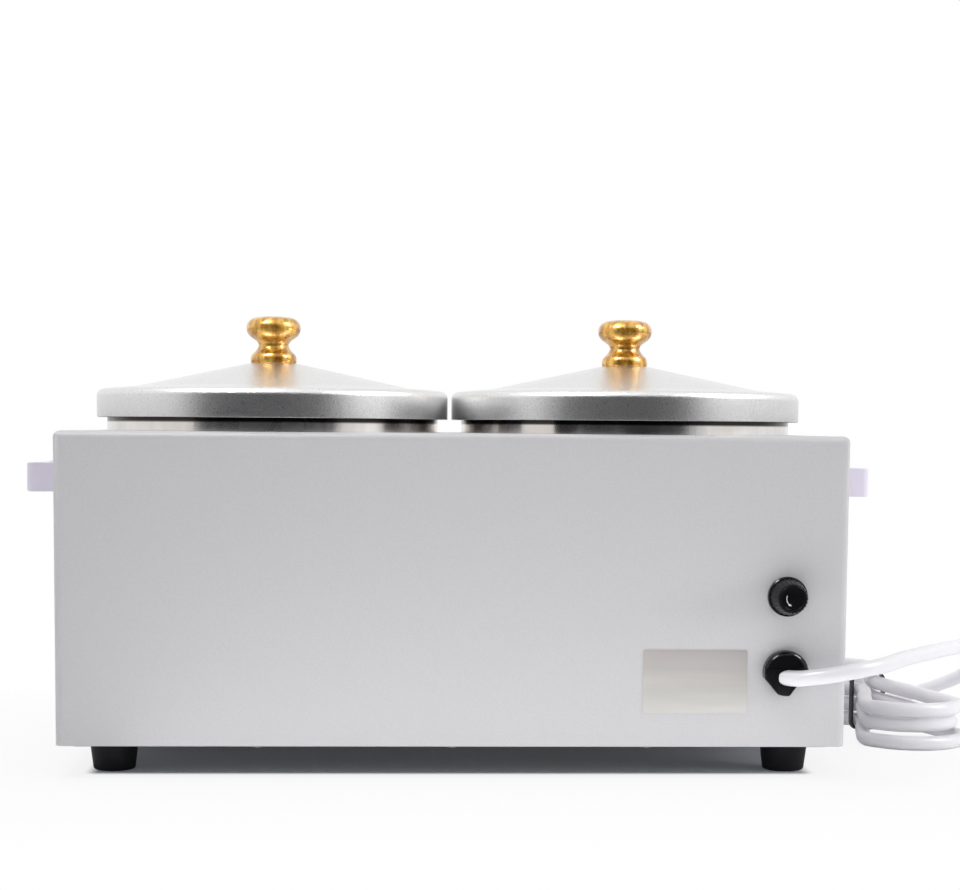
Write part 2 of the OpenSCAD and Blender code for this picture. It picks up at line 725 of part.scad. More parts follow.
// The thermostats' bulbs, each clipped under its well and joined to the thermostat by a thin tube
bulb_d = 6;
bulb_l = 60;
capillary_d = 2;
module thermostat_bulbs() {
    bulb_z = well_floor_z - well_t - bulb_d / 2 - 0.1;
    start_y = inner_front_y + thermostat_depth;
    color("peru") for (side = [LEFT, RIGHT]) {
        translate([side * well_pitch / 2, 0, 0]) {
            translate([0, bulb_l / 2, bulb_z]) rotate([90, 0, 0]) cylinder(d = bulb_d, h = bulb_l);
            tube([[0, start_y, control_z + 12], [0, start_y + 8, control_z + 12],
                  [0, -bulb_l / 2 - 12, bulb_z - 6], [0, -bulb_l / 2 - 7, bulb_z - 2],
                  [0, -bulb_l / 2 - 3, bulb_z], [0, -bulb_l / 2 + 2, bulb_z]], capillary_d / 2, 6);
        }
    }
}

// A pilot lamp's body: a bezel outside, and a barrel that its nut clamps from inside
bezel_h = 1.8;
module pilot_lamps() {
    color("silver") for (side = [LEFT, RIGHT]) {
        on_front(side * lamp_x, control_z) {
            difference() {
                cylinder(d1 = lamp_d, d2 = lamp_d - 1, h = bezel_h);
                translate([0, 0, 0.4]) cylinder(d = lamp_lens_d + 2 * shaft_gap, h = bezel_h);
            }
            translate([0, 0, -lamp_barrel_l]) cylinder(d = lamp_barrel_d, h = lamp_barrel_l + 0.2);
        }
    }
}

module pilot_lens(side) {
    lens_r = lamp_lens_d / 2;
    dome = lamp_out - bezel_h;
    ball_r = (lens_r * lens_r + dome * dome) / (2 * dome);
    color("orangered") on_front(side * lamp_x, control_z) intersection() {
        translate([0, 0, 0.4]) cylinder(r = lens_r, h = lamp_out);
        translate([0, 0, lamp_out - ball_r]) sphere(ball_r);
    }
}

module lamp_nuts() {
    color("silver") for (side = [LEFT, RIGHT]) {
        on_front(side * lamp_x, control_z)
            translate([0, 0, -case_t - 2.5]) hex_nut(lamp_barrel_d + 2 * shaft_gap, lamp_barrel_d + 5, 2.5);
    }
}

// The fuse holder: a flange outside and a barrel inside whose bore takes the cap's spigot and the fuse
fuse_bore_d = fuse_barrel_d - 2.4;
fuse_bore_l = fuse_barrel_l - 3;
fuse_tip = fuse_bore_l - 1.5;
fuse_nut_h = 3;
module fuse_holder() {
    color([0.1, 0.1, 0.1]) on_back(fuse_x, fuse_z) difference() {
        union() {
            translate([0, 0, -fuse_barrel_l]) cylinder(d = fuse_barrel_d, h = fuse_barrel_l + 1);
            cylinder(d = fuse_flange_d, h = fuse_flange_t - 0.5);
            translate([0, 0, fuse_flange_t - 0.5]) cylinder(d1 = fuse_flange_d, d2 = fuse_flange_d - 1, h = 0.5);
        }
        translate([0, 0, -fuse_bore_l]) cylinder(d = fuse_bore_d, h = fuse_bore_l + fuse_flange_t + 1);
    }
}

module fuse_nut() {
    color([0.15, 0.15, 0.15]) on_back(fuse_x, fuse_z) translate([0, 0, -case_t - fuse_nut_h])
        hex_nut(fuse_barrel_d + 2 * shaft_gap, fuse_barrel_d + 5, fuse_nut_h);
}

// The holder's two contacts: a stud in the bore's end, and a blade on each, behind and at the side
module fuse_terminals() {
    color("gold") on_back(fuse_x, fuse_z) {
        translate([0, 0, -fuse_bore_l]) cylinder(d = 4, h = fuse_bore_l - fuse_tip - free_gap);
        translate([-2.5, -0.4, -fuse_barrel_l - 6]) cube([5, 0.8, 6]);
        translate([-2.5, fuse_barrel_d / 2, -fuse_barrel_l + 4]) cube([5, 5, 0.8]);
    }
}

// The screwed cap: a tapered, ribbed drum with a dished end, and a spigot that holds the fuse's outer end
cap_edge_r = 1;
cap_dish_in = 0.6;
cap_dish = 0.5;
cap_rib_r = 0.5;
cap_spigot_l = 9;
cap_grip = 3.5;
module fuse_cap() {
    cap_r = fuse_cap_d / 2;
    cap_end_r = fuse_cap_end_d / 2;
    cap_z = fuse_flange_t + free_gap;
    side_l = fuse_out - cap_edge_r - cap_z;
    taper = atan2(cap_r - cap_end_r - cap_edge_r, side_l);
    socket_r = fuse_d / 2 + free_gap;
    socket_end = cap_grip - cap_spigot_l;
    color([0.08, 0.08, 0.08]) on_back(fuse_x, fuse_z) difference() {
        rotate_extrude() polygon(concat(
            [[socket_r, -cap_spigot_l], [fuse_bore_d / 2 - free_gap, -cap_spigot_l],
             [fuse_bore_d / 2 - free_gap, cap_z], [cap_r, cap_z]],
            arc([cap_end_r, fuse_out - cap_edge_r], cap_edge_r, taper, 90, 4),
            [[cap_end_r - cap_dish_in, fuse_out], [cap_end_r - cap_dish_in - 0.4, fuse_out - cap_dish],
             [0, fuse_out - cap_dish], [0, socket_end], [socket_r, socket_end]]));
        for (i = [0 : fuse_rib_count - 1]) {
            rotate([0, 0, 360 * i / fuse_rib_count]) translate([cap_r + 0.12, 0, cap_z]) rotate([0, -taper, 0])
                translate([0, 0, -1]) cylinder(r = cap_rib_r, h = side_l + 1.6);
        }
    }
}

// The glass fuse: a glass tube between two metal ends
fuse_end_l = 5;
fuse_glass_gap = 0.02;
module fuse_glass() {
    color([0.8, 0.9, 0.95]) on_back(fuse_x, fuse_z) translate([0, 0, -fuse_tip + 0.6]) difference() {
        cylinder(d = fuse_d - 0.8, h = fuse_l - 1.2);
        translate([0, 0, -1]) cylinder(d = fuse_d - 2, h = fuse_l + 2);
    }
}

module fuse_ends() {
    color("silver") on_back(fuse_x, fuse_z) for (z = [-fuse_tip, -fuse_tip + fuse_l - fuse_end_l]) {
        translate([0, 0, z]) difference() {
            cylinder(d = fuse_d, h = fuse_end_l);
            translate([0, 0, z == -fuse_tip ? 0.6 : -1])
                cylinder(d = fuse_d - 0.8 + 2 * fuse_glass_gap, h = fuse_end_l + 0.4);
        }
    }
}

// The mains cord's free stretch. It starts in the bush, and its points are chosen by hand:
// first as steps from the bush's middle, then in plan from the hank's middle and by height
bush_at = [bush_x, back_y, bush_z];
hank_mid = [bush_x - 76, back_y - 152];
cord_start = bush_at + [1.6, 3.8, -1.9];
cord_dir = [-sin(bush_turn), cos(bush_turn), 0];
from_bush = [
    [-9.5, 12.1, -1], [-15.5, 14.4, 0], [-21.8, 15.4, 1.1], [-28.3, 15, 2.2], [-34.5, 13.3, 3.1],
    [-40.2, 10.2, 3.7], [-45.1, 6, 4.1], [-49.3, 0.4, 4.3], [-58, -13.5, 4.6], [-66.5, -27.5, 4.3],
    [-75, -41.5, 3.8], [-84, -56.5, 3.3], [-93.5, -72, 2.7], [-103, -87.5, 2], [-112.5, -103.5, 1.1],
    [-121.5, -120, -0.2]];
to_hank = [
    [-54, 15.5, 47], [-61, -1.5, 42], [-65.5, -18, 35.5], [-66, -35, 28.5], [-61.5, -50, 21.5],
    [-52, -61, 15.5], [-38.5, -66.5, 10], [-24, -68, 6]];
cord_points = concat(
    [cord_start, cord_start + cord_d * cord_dir],
    [for (p = from_bush) bush_at + p],
    [for (p = to_hank) [hank_mid[0] + p[0], hank_mid[1] + p[1], p[2]]]);

// The hank: three loops laid on each other, each with its own reach and width, tied at the waist
hank_turn = 105;
hank_reach = [72, 65, 69, 69];
hank_bend = [26, 22.5, 24, 24];
hank_half_waist = cord_d / 2 + 0.4;
hank_rise = cord_d + 0.9;
hank_lift = 1.8;
arc_steps = 8;
run_steps = 4;
loop_steps = 2 * arc_steps + 2 * run_steps;
first_step = 3;
loop_count = 3;

function run_side(s, bend, straight) = mix(hank_half_waist, bend, ease(min(1, abs(s) / straight)));
function waist_lift(s, straight) = hank_lift * (1 - ease(min(1, abs(s) / straight)));
// One point of loop k: back bend, left run, front bend, then the right run, which climbs to the next loop
function hank_point(k, j) =
    let (
        bend = hank_bend[k], straight = hank_reach[k] - bend, z = cord_d / 2 + k * hank_rise,
        arc_end = arc_steps, run_end = arc_steps + run_steps, turn_end = 2 * arc_steps + run_steps)
    j <= arc_end ? let (b = 180 * j / arc_steps) [-straight - bend * sin(b), bend * cos(b), z]
    : j <= run_end ? let (s = straight * (2 * (j - arc_end) / run_steps - 1))
        [s, -run_side(s, bend, straight), z + waist_lift(s, straight)]
    : j <= turn_end ? let (b = 180 * (j - run_end) / arc_steps) [straight + bend * sin(b), -bend * cos(b), z]
    : let (
        t = (j - turn_end) / run_steps, next = hank_reach[k + 1] - hank_bend[k + 1],
        s = t < 0.5 ? straight * (1 - 2 * t) : next * (1 - 2 * t),
        width = t < 0.5 ? run_side(s, bend, straight) : run_side(s, hank_bend[k + 1], next))
        [s, width, z + hank_rise * t + waist_lift(s, t < 0.5 ? straight : next)];
function laid(p) = [
    hank_mid[0] + p[0] * cos(hank_turn) - p[1] * sin(hank_turn),
    hank_mid[1] + p[0] * sin(hank_turn) + p[1] * cos(hank_turn),
    p[2]];

hank_coil = [for (i = [first_step : loop_steps * loop_count + first_step])
    laid(hank_point(floor(i / loop_steps), i % loop_steps))];
first_angle = hank_turn + 180 + 180 * first_step / arc_steps;
entry_dir = [cos(first_angle), sin(first_angle), 0];
hank_start = hank_coil[0] - cord_d * entry_dir;
free_route = concat(cord_points, [hank_start - cord_d * entry_dir, hank_start]);

// The plug lies on the floor, and the cord's tail comes down to it from the top of the hank
plug_rear = [hank_mid[0] + 94, hank_mid[1] - 79, 8];
plug_strain_l = 14;
tail = concat(
    [for (p = [[23, -70, 28.2], [37, -72.4, 25.4], [50, -74.6, 20.2], [62, -76.6, 14.4], [72.5, -78.2, 10]])
        [hank_mid[0] + p[0], hank_mid[1] + p[1], p[2]]],
    [plug_rear - [1.5 * cord_d, 0, 0], plug_rear]);
hank_route = concat([hank_start], hank_coil, tail);

// How near the hank comes to itself: the least distance between points that lie apart along it
function nearest(p, apart) = min([for (i = [0 : len(p) - 1 - apart], j = [i + apart : len(p) - 1])
    norm(p[i] - p[j])]);
function between(p) = [for (i = [0 : len(p) - 2], t = [0 : 3]) mix(p[i], p[i + 1], t / 4)];
hank_gap = nearest(between(hank_route), 24) - cord_d;
echo(hank_gap_mm = hank_gap);
echo(cord_length_mm = path_length(free_route) + path_length(hank_route));
echo(free_mm = path_length(free_route), hank_mm = path_length(hank_route));

module cord() {
    color("white") tube(free_route, cord_d / 2, 8);
}

module cord_hank() {
    color("white") tube(hank_route, cord_d / 2, 6);
}

// A wire tie round the hank's waist, with its twisted ends on top
tie_t = 1.2;
tie_w = 3;
tie_slack = 2.2;
module cord_tie() {
    in_w = 2 * hank_half_waist + cord_d + tie_slack;
    in_h = cord_d + (loop_count - 0.5) * hank_rise + 0.6;
    mid_z = hank_lift - 0.2 + in_h / 2;
    color([0.15, 0.15, 0.15]) translate([hank_mid[0], hank_mid[1], mid_z]) rotate([0, 0, hank_turn]) {
        rotate([90, 0, 90]) linear_extrude(tie_w, center = true) difference() {
            rounded(in_w + 2 * tie_t, in_h + 2 * tie_t, cord_d / 2 + tie_t);
            rounded(in_w, in_h, cord_d / 2);
        }
        translate([0, in_w / 4, in_h / 2 + tie_t / 2]) rotate([0, 60, 0]) cylinder(d = 2.4, h = 14);
    }
}

// A moulded plug: a body with a waisted grip, and a tapered sleeve on the cord
plug_l = 24;
plug_w = 24;
plug_h = 2 * plug_rear[2];
plug_corner = 5;
blade_l = 17;
blade_w = 6.3;
blade_t = 1.5;
blade_pitch = 12.7;
module plug() {
    color("white") translate(plug_rear) {
        rotate([0, 90, 0]) cylinder(d1 = cord_d + 3, d2 = 13, h = plug_strain_l + 1);
        translate([plug_strain_l, 0, 0]) intersection() {
            translate([0, 0, -plug_h / 2]) linear_extrude(plug_h) rotate(90) difference() {
                translate([0, -plug_l]) arched_both(plug_w, plug_l, plug_corner);
                for (s = [-1, 1]) {
                    translate([s * (plug_w / 2 + 9), -plug_l * 0.45]) circle(10);
                }
            }
            rotate([90, 0, 90]) linear_extrude(plug_l) rounded(plug_w, plug_h, 3.5);
        }
    }
}
module arched_both(l, h, r) {
    translate([0, h / 2]) rounded(l, h, r);
}

module plug_blades() {
    color("gold") for (s = [-1, 1]) {
        translate(plug_rear + [plug_strain_l + plug_l, s * blade_pitch / 2 - blade_t / 2, -blade_w / 2])
            intersection() {
                cube([blade_l, blade_t, blade_w]);
                translate([0, blade_t, 0]) rotate([90, 0, 0]) linear_extrude(blade_t)
                    polygon([[0, 0], [blade_l - 1.5, 0], [blade_l, 1.5], [blade_l, blade_w - 1.5],
                             [blade_l - 1.5, blade_w], [0, blade_w]]);
            }
    }
}

// The cord's bush: a round head with a domed upper half, a neck in the wall, and a channel for the cord
bush_dome_r = 3;
bush_edge_r = 1;
bush_neck_l = 14;
bush_split = 2.4;
bush_seam = 0.4;
bush_flat = 9.7;
bush_cut_r = 9.4;
bush_cut_a = 40;
bush_nut_h = 4;
module bush_head(edge_r) {
    head_r = bush_d / 2;
    rotate_extrude() polygon(concat(
        [[0, 0], [head_r, 0]],
        arc([head_r - edge_r, bush_head_t - edge_r], edge_r, 0, 90),
        [[0, bush_head_t]]));
}

// Local Y points down. The lower half ends in a slanted cut below the cord
module cord_bush() {
    channel_d = cord_d + 2 * hole_gap;
    start = cord_start - bush_at;
    color([0.08, 0.08, 0.08]) on_back(bush_x, bush_z) difference() {
        union() {
            intersection() {
                bush_head(bush_dome_r);
                translate([-bush_flat, -bush_d, 0]) cube([bush_flat + bush_d, bush_d - bush_split, bush_head_t]);
            }
            intersection() {
                bush_head(bush_edge_r);
                linear_extrude(bush_head_t) polygon([[-10, -bush_split], [bush_d, -bush_split], [bush_d, bush_d],
                    [0, bush_d], [0, 12], [-4.5, 5.8]]);
                rotate([0, 0, bush_cut_a]) translate([-bush_d, -bush_d, 0])
                    cube([bush_d + bush_cut_r, 2 * bush_d, bush_head_t]);
            }
            translate([0, 0, -bush_neck_l]) cylinder(d = bush_neck_d, h = bush_neck_l + 1);
        }
        translate([start[0], -start[2], start[1]]) rotate([0, -bush_turn, 0])
            cylinder(d = channel_d, h = bush_d);
        translate([-bush_d, -bush_split - bush_seam / 2, bush_head_t - 0.5]) cube([2 * bush_d, bush_seam, 1]);
    }
}

module cord_bush_nut() {
    color([0.15, 0.15, 0.15]) on_back(bush_x, bush_z) translate([0, 0, -case_t - bush_nut_h])
        hex_nut(bush_neck_d + 2 * shaft_gap, bush_neck_d + 6, bush_nut_h);
}

// The terminal block on the base plate, where the cord's cores meet the leads
block_l = 34;
block_w = 20;
block_h = 14;
block_mid = [bush_x + 43, back_y - 43];
block_pole = 10;
block_well_d = 5;
block_well = 3;
module at_poles() {
    for (i = [-1 : 1], s = [-1, 1]) {
        translate([block_mid[0] + i * block_pole, block_mid[1] + s * block_w / 4, case_z + block_h]) children();
    }
}
module terminal_block() {
    color("ivory") difference() {
        translate([block_mid[0] - block_l / 2, block_mid[1] - block_w / 2, case_z])
            cube([block_l, block_w, block_h]);
        at_poles() translate([0, 0, -block_well]) cylinder(d = block_well_d, h = block_well + 1);
    }
}
module terminal_screws() {
    color("gold") at_poles() translate([0, 0, -block_well]) cylinder(d = block_well_d - 2 * hole_gap, h = 2);
}

// The cord's end inside the case, from the bush to the terminal block
module cord_inlet() {
    color("white") tube([
        [bush_x, back_y - bush_neck_l, bush_z], [bush_x, back_y - bush_neck_l - 8, bush_z],
        bush_at + [0.5, -30, -4], bush_at + [3, -36, -12], bush_at + [7, -40, -20],
        [bush_x + 13, block_mid[1] + 0.5, case_z + 9.5],
        [block_mid[0] - block_l / 2 - 7, block_mid[1], case_z + 7],
        [block_mid[0] - block_l / 2, block_mid[1], case_z + 7]], cord_d / 2, 8);
}

// The leads inside the case, each a bent wire from one terminal to the next
lead_d = 2.4;
tab_y = inner_front_y + thermostat_depth + tab_l;
function stud(side, a, out) = let (r = band_outer_r + stud_out + out) [
    side * (well_pitch / 2 + r * cos(a)), -r * sin(a), band_z + band_h - stud_d];
block_back_y = block_mid[1] + block_w / 2;
block_front_y = block_mid[1] - block_w / 2;
block_right_x = block_mid[0] + block_l / 2;
lead_z = case_z + 7;
module lead(p) {
    tube(p, lead_d / 2, 6, [0.1, 0.3, 1]);
}
well_x = well_pitch / 2;
module supply_leads() {
    live_x = block_mid[0] - 11;
    neutral_x = block_mid[0] + 7;
    back_tab = [fuse_x, back_y - fuse_barrel_l + 4.4, fuse_z - fuse_barrel_d / 2];
    color("brown") {
        lead([[live_x, block_back_y, lead_z], [live_x, block_back_y + 5, lead_z],
              [live_x - 3, block_back_y + 7, lead_z + 12], [live_x - 10, block_back_y + 2, lead_z + 30],
              [live_x - 23, block_back_y - 6, fuse_z - 13], [fuse_x, back_y - 46, fuse_z - 2],
              [fuse_x, back_y - fuse_barrel_l - 9, fuse_z], [fuse_x, back_y - fuse_barrel_l - 6, fuse_z]]);
        lead([back_tab - [0, 0, 5], back_tab - [0, 0, 8], [fuse_x, back_y - 27, fuse_z - 18],
              [fuse_x, back_y - 33, fuse_z - 27], [live_x - 26, back_y - 53, fuse_z - 45],
              [live_x - 13, 10, lead_z + 6], [-well_x - 27, tab_y + 39, lead_z + 4],
              [-well_x - 12, tab_y + 17, control_z - 12], [-well_x - tab_spread, tab_y + 8, control_z],
              [-well_x - tab_spread, tab_y, control_z]]);
        lead([[neutral_x, block_front_y, lead_z - 2], [neutral_x, block_front_y - 5, lead_z - 2],
              [neutral_x + 9, 20, lead_z - 3], [-60, -10, lead_z - 3], [0, -30, lead_z - 2], [60, -38, lead_z + 5],
              [well_x + 2, tab_y + 17, control_z - 10], [well_x + tab_spread, tab_y + 8, control_z],
              [well_x + tab_spread, tab_y, control_z]]);
    }
}
module heater_leads() {
    near = 90 - 45 + stud_turn;
    far = 45 - stud_turn;
    live_x = block_mid[0] - 11;
    color("ivory") {
        for (side = [LEFT, RIGHT]) {
            lead([[side * (well_x - tab_spread), tab_y, control_z],
                  [side * (well_x - tab_spread), tab_y + 8, control_z],
                  [side * (well_x - 2), tab_y + 11, control_z + 12], [side * (well_x + 16), front_y + 33, band_z - 23],
                  [side * (well_x + 33), front_y + 18, band_z - 15], [side * (well_x + 43), front_y + 11, band_z - 1],
                  [side * (well_x + 45), front_y + 11, band_z + 16], stud(side, near, 5), stud(side, near, 0)]);
            lead(concat(
                [stud(side, far, 0), stud(side, far, 5), [side * (end_x - 13), front_y + 49, band_z + 6],
                 [side * (end_x - 15), front_y + 55, band_z - 19]],
                side == LEFT
                    ? [[-end_x + 23, -15, 50], [live_x - 23, 15, 32], [live_x - 4, block_front_y - 8, lead_z + 1],
                       [live_x, block_front_y - 5, lead_z], [live_x, block_front_y, lead_z]]
                    : [[end_x - 33, 0, 42], [well_x + 17, 28, lead_z + 2], [0, block_mid[1] - 6, lead_z - 2],
                       [block_right_x + 24, block_mid[1], lead_z - 1], [block_right_x + 5, block_mid[1], lead_z],
                       [block_right_x, block_mid[1], lead_z]]));
        }
    }
}

// A thin blank plate beside the cord
module rating_plate() {
    color("silver") on_back(plate_x, case_z + plate_up) linear_extrude(plate_t) rounded(plate_l, plate_h, 1);
}

housing();
base_plate();
base_screws();
foot(LEFT, -1);  // foot_front_left
foot(RIGHT, -1);  // foot_front_right
foot(LEFT, 1);  // foot_rear_left
foot(RIGHT, 1);  // foot_rear_right
foot_screws();
foot_nuts();
well(LEFT);  // well_left
well(RIGHT);  // well_right
heater_band(LEFT);  // heater_band_left
heater_band(RIGHT);  // heater_band_right
band_screws();
insulation(LEFT);  // insulation_left
insulation(RIGHT);  // insulation_right
pot(LEFT);  // pot_left
pot(RIGHT);  // pot_right
lid(LEFT);  // lid_left
lid(RIGHT);  // lid_right
lid_knob(LEFT);  // lid_knob_left
lid_knob(RIGHT);  // lid_knob_right
knob_screw(LEFT);  // knob_screw_left
knob_screw(RIGHT);  // knob_screw_right
handle(LEFT);  // handle_left
handle(RIGHT);  // handle_right
handle_screws();
thermostat(LEFT);  // thermostat_left
thermostat(RIGHT);  // thermostat_right
thermostat_shaft(LEFT);  // thermostat_shaft_left
thermostat_shaft(RIGHT);  // thermostat_shaft_right
thermostat_screws();
thermostat_bulbs();
dial(LEFT);  // dial_left
dial(RIGHT);  // dial_right
pilot_lamps();
pilot_lens(LEFT);  // pilot_lens_left
pilot_lens(RIGHT);  // pilot_lens_right
lamp_nuts();
fuse_holder();
fuse_nut();
fuse_terminals();
fuse_cap();
fuse_glass();
fuse_ends();
cord_bush();
cord_bush_nut();
cord_inlet();
terminal_block();
terminal_screws();
supply_leads();
heater_leads();
rating_plate();
cord();
cord_hank();
cord_tie();
plug();
plug_blades();
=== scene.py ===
"""A double wax warmer seen from behind: a powder-coated case on rubber feet, two lidded pots, and a white cord."""
import json
import math

import bmesh
import bpy
from mathutils import Matrix, Vector


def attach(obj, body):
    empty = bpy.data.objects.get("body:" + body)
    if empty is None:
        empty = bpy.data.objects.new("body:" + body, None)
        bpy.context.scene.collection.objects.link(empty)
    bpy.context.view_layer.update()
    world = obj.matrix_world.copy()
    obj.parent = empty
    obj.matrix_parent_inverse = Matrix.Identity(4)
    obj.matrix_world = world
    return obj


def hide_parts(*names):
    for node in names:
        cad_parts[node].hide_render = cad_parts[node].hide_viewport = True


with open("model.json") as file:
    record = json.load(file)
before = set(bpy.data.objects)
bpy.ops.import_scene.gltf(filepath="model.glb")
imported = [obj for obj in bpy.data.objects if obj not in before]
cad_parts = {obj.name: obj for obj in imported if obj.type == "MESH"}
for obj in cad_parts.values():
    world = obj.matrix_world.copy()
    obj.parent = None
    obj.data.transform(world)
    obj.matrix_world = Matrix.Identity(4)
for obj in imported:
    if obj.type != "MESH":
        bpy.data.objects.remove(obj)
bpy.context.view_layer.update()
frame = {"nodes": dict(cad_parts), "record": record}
solids = frame["nodes"]

# ---------------------------------------------------------------- the view
# A 75 mm lens stands a metre behind the warmer, about as high as the lids' rims, and looks slightly down.
# The frame is raised on the lens, which keeps the case's sides nearly upright.
yaw, pitch, roll = math.radians(2.64), math.radians(4.92), math.radians(0.47)
ahead = Vector((-math.sin(yaw) * math.cos(pitch), -math.cos(yaw) * math.cos(pitch), -math.sin(pitch)))
level_right = Vector((-math.cos(yaw), math.sin(yaw), 0))
level_up = level_right.cross(ahead)
camera_right = level_right * math.cos(roll) + level_up * math.sin(roll)
camera_up = level_up * math.cos(roll) - level_right * math.sin(roll)
lens = bpy.data.cameras.new("camera")
lens.lens = 75
lens.sensor_width = 36
lens.shift_y = 155 / 960
lens.clip_start = 0.05
lens.clip_end = 20
camera = bpy.data.objects.new("camera", lens)
camera.matrix_world = Matrix.Translation((0.0304, 1.0093, 0.1621)) @ Matrix(
    (camera_right, camera_up, -ahead)).transposed().to_4x4()
bpy.context.scene.collection.objects.link(camera)
bpy.context.scene.camera = camera
bpy.context.scene.view_settings.view_transform = "Standard"


# ---------------------------------------------------------------- the mains cord
# A white round PVC cord of about 1.5 m. It leaves the bush at a slant, sweeps out past the case's end, and is
# folded into a hank of three loops beside it, with a wire tie at the waist. The plug lies in front of the case.
# Its lengths are in millimetres until the route is made.
CORD_D = 7.4
BUSH = Vector((-154, 93, 50))
BUSH_TURN = math.radians(50)
HANK_MID = BUSH + Vector((-76, -152, 0))
HANK_TURN = math.radians(105)
cord_start = BUSH + Vector((1.6, 3.8, -1.9))
cord_dir = Vector((-math.sin(BUSH_TURN), math.cos(BUSH_TURN), 0))
from_bush = [
    (-9.5, 12.1, -1), (-15.5, 14.4, 0), (-21.8, 15.4, 1.1), (-28.3, 15, 2.2), (-34.5, 13.3, 3.1),
    (-40.2, 10.2, 3.7), (-45.1, 6, 4.1), (-49.3, 0.4, 4.3), (-58, -13.5, 4.6), (-66.5, -27.5, 4.3),
    (-75, -41.5, 3.8), (-84, -56.5, 3.3), (-93.5, -72, 2.7), (-103, -87.5, 2), (-112.5, -103.5, 1.1),
    (-121.5, -120, -0.2)]
to_hank = [
    (-54, 15.5, 47), (-61, -1.5, 42), (-65.5, -18, 35.5), (-66, -35, 28.5), (-61.5, -50, 21.5),
    (-52, -61, 15.5), (-38.5, -66.5, 10), (-24, -68, 6)]
free_stretch = [cord_start, cord_start + CORD_D * cord_dir, *(BUSH + Vector(p) for p in from_bush),
                *((HANK_MID.x + p[0], HANK_MID.y + p[1], p[2]) for p in to_hank)]
# Each loop of the hank has a reach and a bend radius at its ends, and climbs by RISE. At the waist its two
# sides come together and lift over each other. ARC and RUN are the points of an end and of a side, and FIRST
# is the point of the first end where the cord comes in.
HANK_REACH, HANK_BEND = (72, 65, 69, 69), (26, 22.5, 24, 24)
HALF_WAIST, RISE, LIFT = CORD_D / 2 + 0.4, CORD_D + 0.9, 1.8
ARC, RUN, LOOPS, FIRST = 8, 4, 3, 3
AROUND = 2 * (ARC + RUN)
PLUG_REAR = Vector((HANK_MID.x + 94, HANK_MID.y - 79, 8))


def eased(t):
    return (1 - math.cos(math.pi * min(1, max(0, t)))) / 2


def hank_point(k, j):
    """Point j of the hank's loop k, in the hank's own frame."""
    bend, straight, z = HANK_BEND[k], HANK_REACH[k] - HANK_BEND[k], CORD_D / 2 + k * RISE

    def side(s, wide, half):
        return HALF_WAIST + (wide - HALF_WAIST) * eased(abs(s) / half)

    def lift(s, half):
        return LIFT * (1 - eased(abs(s) / half))

    if j <= ARC:
        b = math.pi * j / ARC
        return (-straight - bend * math.sin(b), bend * math.cos(b), z)
    if j <= ARC + RUN:
        s = straight * (2 * (j - ARC) / RUN - 1)
        return (s, -side(s, bend, straight), z + lift(s, straight))
    if j <= 2 * ARC + RUN:
        b = math.pi * (j - ARC - RUN) / ARC
        return (straight + bend * math.sin(b), -bend * math.cos(b), z)
    t = (j - 2 * ARC - RUN) / RUN
    after = HANK_REACH[k + 1] - HANK_BEND[k + 1]
    half = straight if t < 0.5 else after
    s = half * (1 - 2 * t)
    return (s, side(s, bend if t < 0.5 else HANK_BEND[k + 1], half), z + RISE * t + lift(s, half))


def laid(p):
    """A point of the hank's own frame, turned to the hank's place on the floor."""
    c, s = math.cos(HANK_TURN), math.sin(HANK_TURN)
    return Vector((HANK_MID.x + p[0] * c - p[1] * s, HANK_MID.y + p[0] * s + p[1] * c, p[2]))


coil = [laid(hank_point(i // AROUND, i % AROUND)) for i in range(FIRST, FIRST + LOOPS * AROUND + 1)]
entry = HANK_TURN + math.pi + math.pi * FIRST / ARC
entry = Vector((math.cos(entry), math.sin(entry), 0))
hank_start = coil[0] - CORD_D * entry
to_plug = [(23, -70, 28.2), (37, -72.4, 25.4), (50, -74.6, 20.2), (62, -76.6, 14.4), (72.5, -78.2, 10)]
tail = [*((HANK_MID.x + p[0], HANK_MID.y + p[1], p[2]) for p in to_plug),
        PLUG_REAR - Vector((1.5 * CORD_D, 0, 0)), PLUG_REAR]
cord_points = [Vector(p) / 1000 for p in
               [*free_stretch, hank_start - CORD_D * entry, hank_start, *coil, *tail]]


def smooth_line(points, step):
    """The points joined by one smooth curve, with a new point about every step."""
    p = [2 * points[0] - points[1], *points, 2 * points[-1] - points[-2]]
    line = []
    for a, b, c, d in zip(p, p[1:], p[2:], p[3:]):
        parts = max(2, round((c - b).length / step))
        for i in range(parts):
            t = i / parts
            line.append(0.5 * (2 * b + (c - a) * t + (2 * a - 5 * b + 4 * c - d) * t * t
                               + (3 * b - a - 3 * c + d) * t ** 3))
    return [*line, points[-1].copy()]


def piece_of(name, vertices, faces, sharp=35, turn_out=True):
    """A new mesh object, smooth except over edges sharper than the angle, with its faces turned outwards."""
    mesh = bpy.data.meshes.new(name)
    mesh.from_pydata([tuple(v) for v in vertices], [], faces)
    work = bmesh.new()
    work.from_mesh(mesh)
    bmesh.ops.remove_doubles(work, verts=work.verts, dist=1e-7)
    if turn_out:
        bmesh.ops.recalc_face_normals(work, faces=work.faces)
    work.to_mesh(mesh)
    work.free()
    mesh.shade_smooth()
    mesh.set_sharp_from_angle(angle=math.radians(sharp))
    piece = bpy.data.objects.new(name, mesh)
    bpy.context.scene.collection.objects.link(piece)
    return piece


